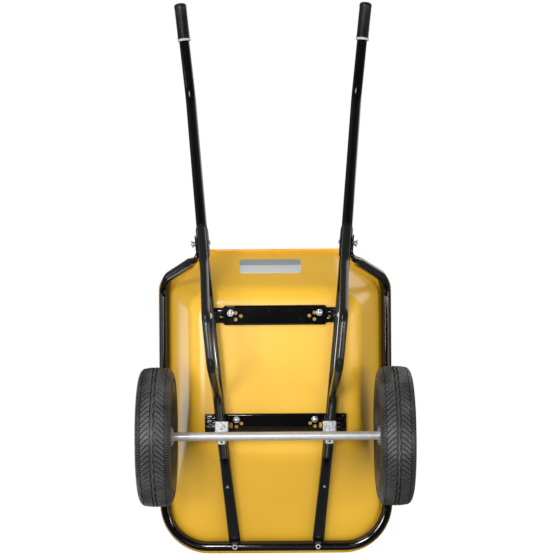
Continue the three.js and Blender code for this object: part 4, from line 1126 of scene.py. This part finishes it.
def make_axle():
    lift = Matrix.Translation((0, 0, AXLE_HEIGHT))
    end = HUB_FACE + GAP + WASHER + 4.5
    bar = turned(mirrored_profile([(end, 0), (end, 11), (end - 1.5, AXLE_RADIUS), (60, AXLE_RADIUS)]), 64)
    shape = Shape().join(bar, lift)
    finished("axle", shape.mesh("axle"), DRAWN_ZINC, "root", "zinc_plate", "axle")

    def washer(start):
        flat = [(0, 13), (0, 20.6), (0.4, 21), (WASHER - 0.4, 21), (WASHER, 20.6), (WASHER, 13)]
        ring = turned([(start + a, r) for a, r in flat], 56, closed=True)
        return Shape().join(ring, lift)

    def cap():
        start = HUB_FACE + 2 * GAP + WASHER
        dome = [(0, 12.9), (0, 17.4), (0.6, 18), (5.8, 18), (7.4, 17.2), (8.4, 15), (8.9, 11), (9, 0)]
        hollow = [(4.8, 0), (4.8, 12.9)]
        solid = turned([(start + a, r) for a, r in [*hollow, *dome]], 56)
        return Shape().join(solid, lift)

    pair("washer_inner", lambda: washer(WHEEL_MIDDLE - HUB_HALF - GAP - WASHER), ZINC, "zinc_plate")
    pair("washer_outer", lambda: washer(HUB_FACE + GAP), ZINC, "zinc_plate")
    pair("axle_cap", cap, ZINC, "zinc_plate")
    pair("axle_clamp", axle_clamp, ZINC, "zinc_plate")


def axle_clamp():
    """A pressed seat with upright sides, round bosses at its corners and drilled dimples."""
    rear, front, half = 41, -24, 20
    rings = []
    for y in (front, front + 0.8, front + 3, -16, -14, -12, -10, rear - 3, rear - 0.8, rear):
        trim = 1.6 * (1 - share_of(min(y - front, rear - y), 0, 3)) ** 2
        lip = 1 - share_of(y, -16, -10)
        out, top = half - trim - 7 * lip, 11.5 - trim * 2 - 5.5 * lip
        outside, inside = pressed_corner(out, 4.0, 5)
        outer, inner = [(-out, top), *outside], [(-out + SHEET, top), *inside]
        outer += [(-x, z) for x, z in reversed(outer)]
        inner += [(-x, z) for x, z in reversed(inner)]
        rings.append([(x, y, z) for x, z in [*outer, *reversed(inner)]])
    shape = Shape().loft(rings)
    boss = stood_up([(1, 4.4), (-0.6, 4.4), (-1.5, 3.6), (-1.9, 2.2), (-2, 0.5)], 20)
    for x, y in ((13, 35), (-13, 35), (13, 20), (-13, 20)):
        shape.join(boss, Matrix.Translation((x, y, 0)))
    tools = Shape()
    dimples = [(9, 26.5, 1.7), (-9, 26.5, 1.7), (0, 18.5, 1.7), (0, -18, 3)]
    for x, y, radius in [(0, FRONT_BRACE, BOLT_HOLE), *dimples]:
        hole = stood_up([(-6, radius), (6, radius)], 20)
        tools.join(hole, Matrix.Translation((x, y, 0)))
    mesh = drilled(shape.mesh("clamp"), tools, 0.25)
    low = LEG_LEVEL - LEG_RADIUS - GAP - SHEET
    mesh.transform(Matrix.Translation(Vector((rail_half(0), 0, low)) * MILLIMETRE))
    return mesh


# --- Grips ------------------------------------------------------------------------------------


def handle_place():
    slant = math.atan2(rail_half(HANDLE_END) - rail_half(HANDLE_BEND), HANDLE_END - HANDLE_BEND)
    end = Matrix.Translation((rail_half(HANDLE_END), HANDLE_END, HANDLE_HEIGHT))
    return end @ Matrix.Rotation(-slant, 4, "Z") @ Matrix.Rotation(math.pi / 2, 4, "Z")


def make_grips():
    bore = MAIN_RADIUS + 0.4
    body = [(-107, bore), (-107, 18.9), (-106.4, 19.5), (-102, 19.5), (-100.6, 18.7), (-12, 18.7), (-9, 19.5)]
    body += [(-3, 19.5), (0.5, 18.2), (3, 15.2), (4.5, 11), (5, 5), (5, 0)]
    hollow = [(0.3, 0), (0.3, bore)]
    section = [(-0.9, 18.1), (-0.8, 18.8), (-0.3, 19.3), (0.3, 19.3), (0.8, 18.8), (0.9, 18.1)]
    rib = turned(section, 48, closed=True)
    marks = Shape()
    marks.points = [Vector((x, 0, 0)) for x in [-97 + 5.1 * k for k in range(17)]]
    tree, nodes, given, end = geometry_tree("ribs_along_grip", Pattern="object")
    pattern = nodes.add("GeometryNodeObjectInfo", inputs={"Object": given.named("Pattern")}).named("Geometry")
    copies = nodes.add(
        "GeometryNodeInstanceOnPoints", inputs={"Points": given.named("Geometry"), "Instance": pattern}
    )
    end(copies)
    collar = [(-114.3, bore), (-114.3, 19.9), (-113.6, 20.8), (-108.2, 20.8), (-107.4, 20.1), (-107.4, bore)]

    def sleeve():
        source = template(rib, "rib")
        mesh = grown(marks.mesh("marks"), tree, {"Pattern": source, "Material": GRIP})
        bpy.data.objects.remove(source)
        work = bmesh.new()
        work.from_mesh(mesh)
        work.from_mesh(turned([*hollow, *body], 64).mesh("sleeve"))
        work.to_mesh(mesh)
        work.free()
        place = handle_place()
        place.translation *= MILLIMETRE
        mesh.transform(place)
        return mesh

    def ring():
        return Shape().join(turned(collar, 64, closed=True), handle_place())

    pair("grip", sleeve, GRIP, "grip_rubber")
    pair("grip_collar", ring, COLLAR, "pale_plastic")


# --- Fasteners --------------------------------------------------------------------------------


def bolt(length, head, count=28):
    """A bolt with its head towards +Z, seated at z = 0."""
    return stood_up([(-length, 3.2), (-length + 0.8, 4), (0, 4), *head], count)


def hex_bolt(nut_at):
    """A bolt with a flanged hexagon head and a nut near its end."""
    head = [(0, 9), (1.1, 9), (1.1, 7.5, 7.5), (4.6, 7.5, 7.5), (5.5, 6.5, 7.5), (5.5, 4.2), (5.2, 3.8)]
    nut = [(z - nut_at, radius, 7.5) for z, radius in ((-5.5, 5.6), (-4.8, 7.5), (-0.7, 7.5), (0, 6.6))]
    return bolt(nut_at + 6.6, head, 24).join(stood_up(nut))


def dome_nut():
    """A cap nut on a washer, its crown towards +Z."""
    levels = [(0, 4.4), (0, 9.4), (1, 9.6), (1.3, 9.2), (1.3, 8.5, 8.5), (3.2, 8.5, 8.5), (3.8, 7.7, 8.5)]
    levels += [(3.8 + 3.4 * math.sin(a), 7.4 * math.cos(a)) for a in (0.15, 0.45, 0.8, 1.15, 1.45)]
    return stood_up(levels)


def mushroom_bolt(shank):
    levels = [(-shank, 3.4), (-shank + 0.6, 4), (0, 4), (0, 9.2), (0.7, 9.5)]
    levels += [(2.2, 8.4), (3.5, 6), (4.2, 3.2), (4.5, 0.3)]
    return stood_up(levels, 28)


def wing_nut():
    """A wing nut on Z: a tapered barrel and two rounded ears."""
    shape = stood_up([(0, 6.6), (0.8, 7), (5, 5.8), (7.6, 5.2), (8, 4.6)], 28)
    for way in (1, -1):
        line = ((3, 3.6), (6, 4), (8.5, 5.4), (11, 7), (13, 8.4), (14, 9))
        path = [Vector((way * x, 0, z)) for x, z in line]
        halves = [(3.2, 2), (3, 1.7), (3.3, 1.6), (3.4, 1.5), (2.5, 1.4), (1, 0.9)]
        rings = []
        for point, (tall, thick) in zip(path, halves):
            rings.append([point + Vector((0, s, u)) for s, u in oval(thick, tall, 2.4, 16)])
        shape.join(Shape().loft(rings))
    return shape


def coach_bolt(shank):
    """A bolt with a low round head."""
    return bolt(shank, [(0, 7), (0.6, 7.2), (1.6, 6.2), (2.4, 4), (2.6, 0.5)])


def eyelet_bolt(shank):
    """A bolt with a low ring-shaped head and a deep socket in its middle."""
    return bolt(shank, [(0, 7.8), (0.6, 8), (1.8, 7), (2.2, 5.6), (1.8, 4.4), (-3, 3.4)])


def make_fasteners():
    down, over = (0, 0, -1), (0, 0, 1)
    zinc, bright = (ZINC, "zinc_plate"), (STEEL, "bright_steel")
    shank = 2 * GAP + TRAY_SHEET + BRACE_DEPTH + 3
    for end, (x, y) in (("rear", REAR_TRAY_BOLT), ("front", FRONT_TRAY_BOLT)):
        head = (x, y, TRAY_FLOOR_HEIGHT + TRAY_SHEET + GAP)
        on_both_sides(f"tray_bolts_{end}", mushroom_bolt(shank), head, over, 0, *zinc, f"tray_bolt_{end}")
        seat = (x, y, BRACE_BOTTOM - GAP)
        on_both_sides(f"tray_nuts_{end}", dome_nut(), seat, down, 0.3, *bright, f"tray_nut_{end}")
    clamp, tube = LEG_LEVEL - LEG_RADIUS - 2 * GAP - SHEET, CHASSIS_HEIGHT - MAIN_RADIUS - GAP
    held = (("axle_clamp", FRONT_BRACE, clamp, 0.4), ("rear_brace", REAR_BRACE, tube, 0.1))
    for name, y, low, turn in held:
        pattern = hex_bolt(BRACE_BOTTOM + SHEET - low + 0.4)
        on_both_sides(f"{name}_bolts", pattern, (rail_half(y), y, low), down, turn, *zinc, f"{name}_bolt")
    pattern = eyelet_bolt(TONGUE_SHEET + 2 * RIM_TUBE_RADIUS - 1)
    low = (NOSE_HALF, NOSE_BAR, TONGUE_TOP - TONGUE_SHEET - GAP)
    on_both_sides("nose_bolts", pattern, low, down, 0.2, *zinc, "nose_bolt")
    axis, _, across, _ = rail_frame(LEG_BOLT)
    seat = MAIN_RADIUS + GAP + SHEET
    inner, outer = axis - across * (seat + 2 * GAP), axis + across * (seat + 4 + 3 * GAP)
    on_both_sides("leg_bolts", coach_bolt(2 * seat + 17), inner, -across, 0.2, *zinc, "leg_bolt")
    on_both_sides("leg_wing_nuts", wing_nut(), outer, across, 0.6, *zinc, "leg_wing_nut")
    rivet = stood_up([(-3, 3.6), (0, 4.6), (1, 4.4), (2, 3), (2.4, 1)], 20)
    y = -152
    climb = (TONGUE_TOP - 3 - CHASSIS_HEIGHT) / (352 + FRONT_BEND)
    lean = math.atan(climb)
    centre = Vector((rail_half(y), y, CHASSIS_HEIGHT + (FRONT_BEND - y) * climb))
    facing = Vector((0, -math.sin(lean), -math.cos(lean)))
    on_both_sides("nose_rivets", rivet, centre + facing * MAIN_RADIUS, facing, 0, *bright)


# --- Stage ------------------------------------------------------------------------------------


def make_floor():
    """A pale floor that is seen from above only, so that the underside can be looked at."""
    mesh = bpy.data.meshes.new("floor")
    reach = 14.0
    corners = [(-reach, -reach, 0), (reach, -reach, 0), (reach, reach, 0), (-reach, reach, 0)]
    mesh.from_pydata(corners, [], [(0, 1, 2, 3)])
    finish = Finish("floor_paint", {"Roughness": 0.85, "Specular IOR Level": 0.1})
    tone = finish.spread(finish.noise(0.7, 3), 0.3, 0.7)
    finish.set("Base Color", finish.between((0.80, 0.80, 0.80), (0.86, 0.86, 0.86), tone))
    clear = finish.add("ShaderNodeBsdfTransparent")
    behind = finish.add("ShaderNodeNewGeometry").named("Backfacing")
    out = finish.tree.nodes["Material Output"]
    solid = Value(finish, finish.shader.outputs[0])
    one_sided = finish.add("ShaderNodeMixShader", inputs={0: behind, 1: solid, 2: clear})
    finish.feed(out.inputs["Surface"], one_sided)
    mesh.materials.append(finish.material)
    floor = bpy.data.objects.new("floor", mesh)
    bpy.context.scene.collection.objects.link(floor)
    floor.visible_shadow = floor.visible_diffuse = floor.visible_glossy = floor.visible_transmission = False


def soft_light(name, place, target, width, height, power):
    lamp = bpy.data.lights.new(name, "AREA")
    lamp.shape, lamp.size, lamp.size_y, lamp.energy = "RECTANGLE", width, height, power
    holder = bpy.data.objects.new(name, lamp)
    holder.location = place
    holder.rotation_mode = "QUATERNION"
    holder.rotation_quaternion = (Vector(target) - Vector(place)).to_track_quat("-Z", "Y")
    holder.visible_camera = False
    bpy.context.scene.collection.objects.link(holder)


def make_lights():
    middle = (0, -0.25, 0.3)
    soft_light("left_key", (1.6, -0.15, -3.7), middle, 0.9, 0.9, 50)
    soft_light("left_softbox", (3.4, 0.0, -1.2), middle, 1.6, 3.4, 18)
    soft_light("left_back", (1.5, 2.3, -2.4), middle, 1.0, 1.0, 30)
    soft_light("right_softbox", (-3.4, -0.3, -1.6), middle, 1.6, 3.0, 22)
    soft_light("right_strip", (-2.2, -0.15, -2.9), middle, 0.10, 1.6, 16)
    soft_light("low_spot", (0.5, 0.42, -4.2), middle, 0.5, 0.5, 44)
    soft_light("low_front", (0.2, -2.6, -2.8), middle, 2.4, 1.6, 12)
    soft_light("top_softbox", (1.4, -1.2, 3.4), middle, 3.0, 3.0, 34)
    soft_light("top_back", (-1.8, 1.6, 2.8), middle, 2.4, 2.4, 20)
    world = bpy.data.worlds.new("studio")
    bpy.context.scene.world = world
    world.use_nodes = True
    nodes = Nodes(world.node_tree)
    way = nodes.add("ShaderNodeTexCoord").named("Generated")
    rise = nodes.add("ShaderNodeSeparateXYZ", inputs={"Vector": way}).named("Z")
    inputs = {"Value": rise, "From Min": -0.5, "From Max": -0.02, "To Min": 0.01, "To Max": 0.12}
    shade = nodes.add("ShaderNodeMapRange", {"interpolation_type": "SMOOTHSTEP"}, inputs)
    ray = nodes.add("ShaderNodeLightPath")
    for kind, strength in (("Is Camera Ray", 1.0), ("Is Diffuse Ray", 0.55)):
        least = ray.named(kind) * strength
        shade = nodes.add("ShaderNodeMath", {"operation": "MAXIMUM"}, {0: shade, 1: least})
    background = world.node_tree.nodes["Background"]
    background.inputs["Color"].default_value = (1, 1, 1, 1)
    nodes.feed(background.inputs["Strength"], shade)


def make_camera():
    """Looks straight up at the underside, with the handles at the top."""
    lens = bpy.data.cameras.new("camera")
    lens.sensor_width, lens.lens = 36, 102
    lens.clip_end = 60
    camera = bpy.data.objects.new("camera", lens)
    roll = math.radians(0.38)
    right = Vector((-math.cos(roll), -math.sin(roll), 0))
    up = Vector((-math.sin(roll), math.cos(roll), 0))
    turn = Matrix((right, up, right.cross(up))).transposed()
    camera.matrix_world = Matrix.Translation((-0.007, -0.0037, -4.3)) @ turn.to_4x4()
    bpy.context.scene.collection.objects.link(camera)
    bpy.context.scene.camera = camera


# --- Making it --------------------------------------------------------------------------------

bpy.context.scene.view_settings.view_transform = "Standard"
make_camera()
make_lights()
make_floor()
make_frame_tubes()
make_braces()
make_tray()
finished("tray_label", label().mesh("label"), FOIL, "root", "silver_foil", "tray_label")
for side, way in (("left", 1), ("right", -1)):
    make_wheel(side, way)
make_axle()
make_grips()
make_fasteners()
for side in ("left", "right"):
    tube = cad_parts[f"inner_tube_{side}"]
    for place in tube.material_slots:
        place.material = BUTYL
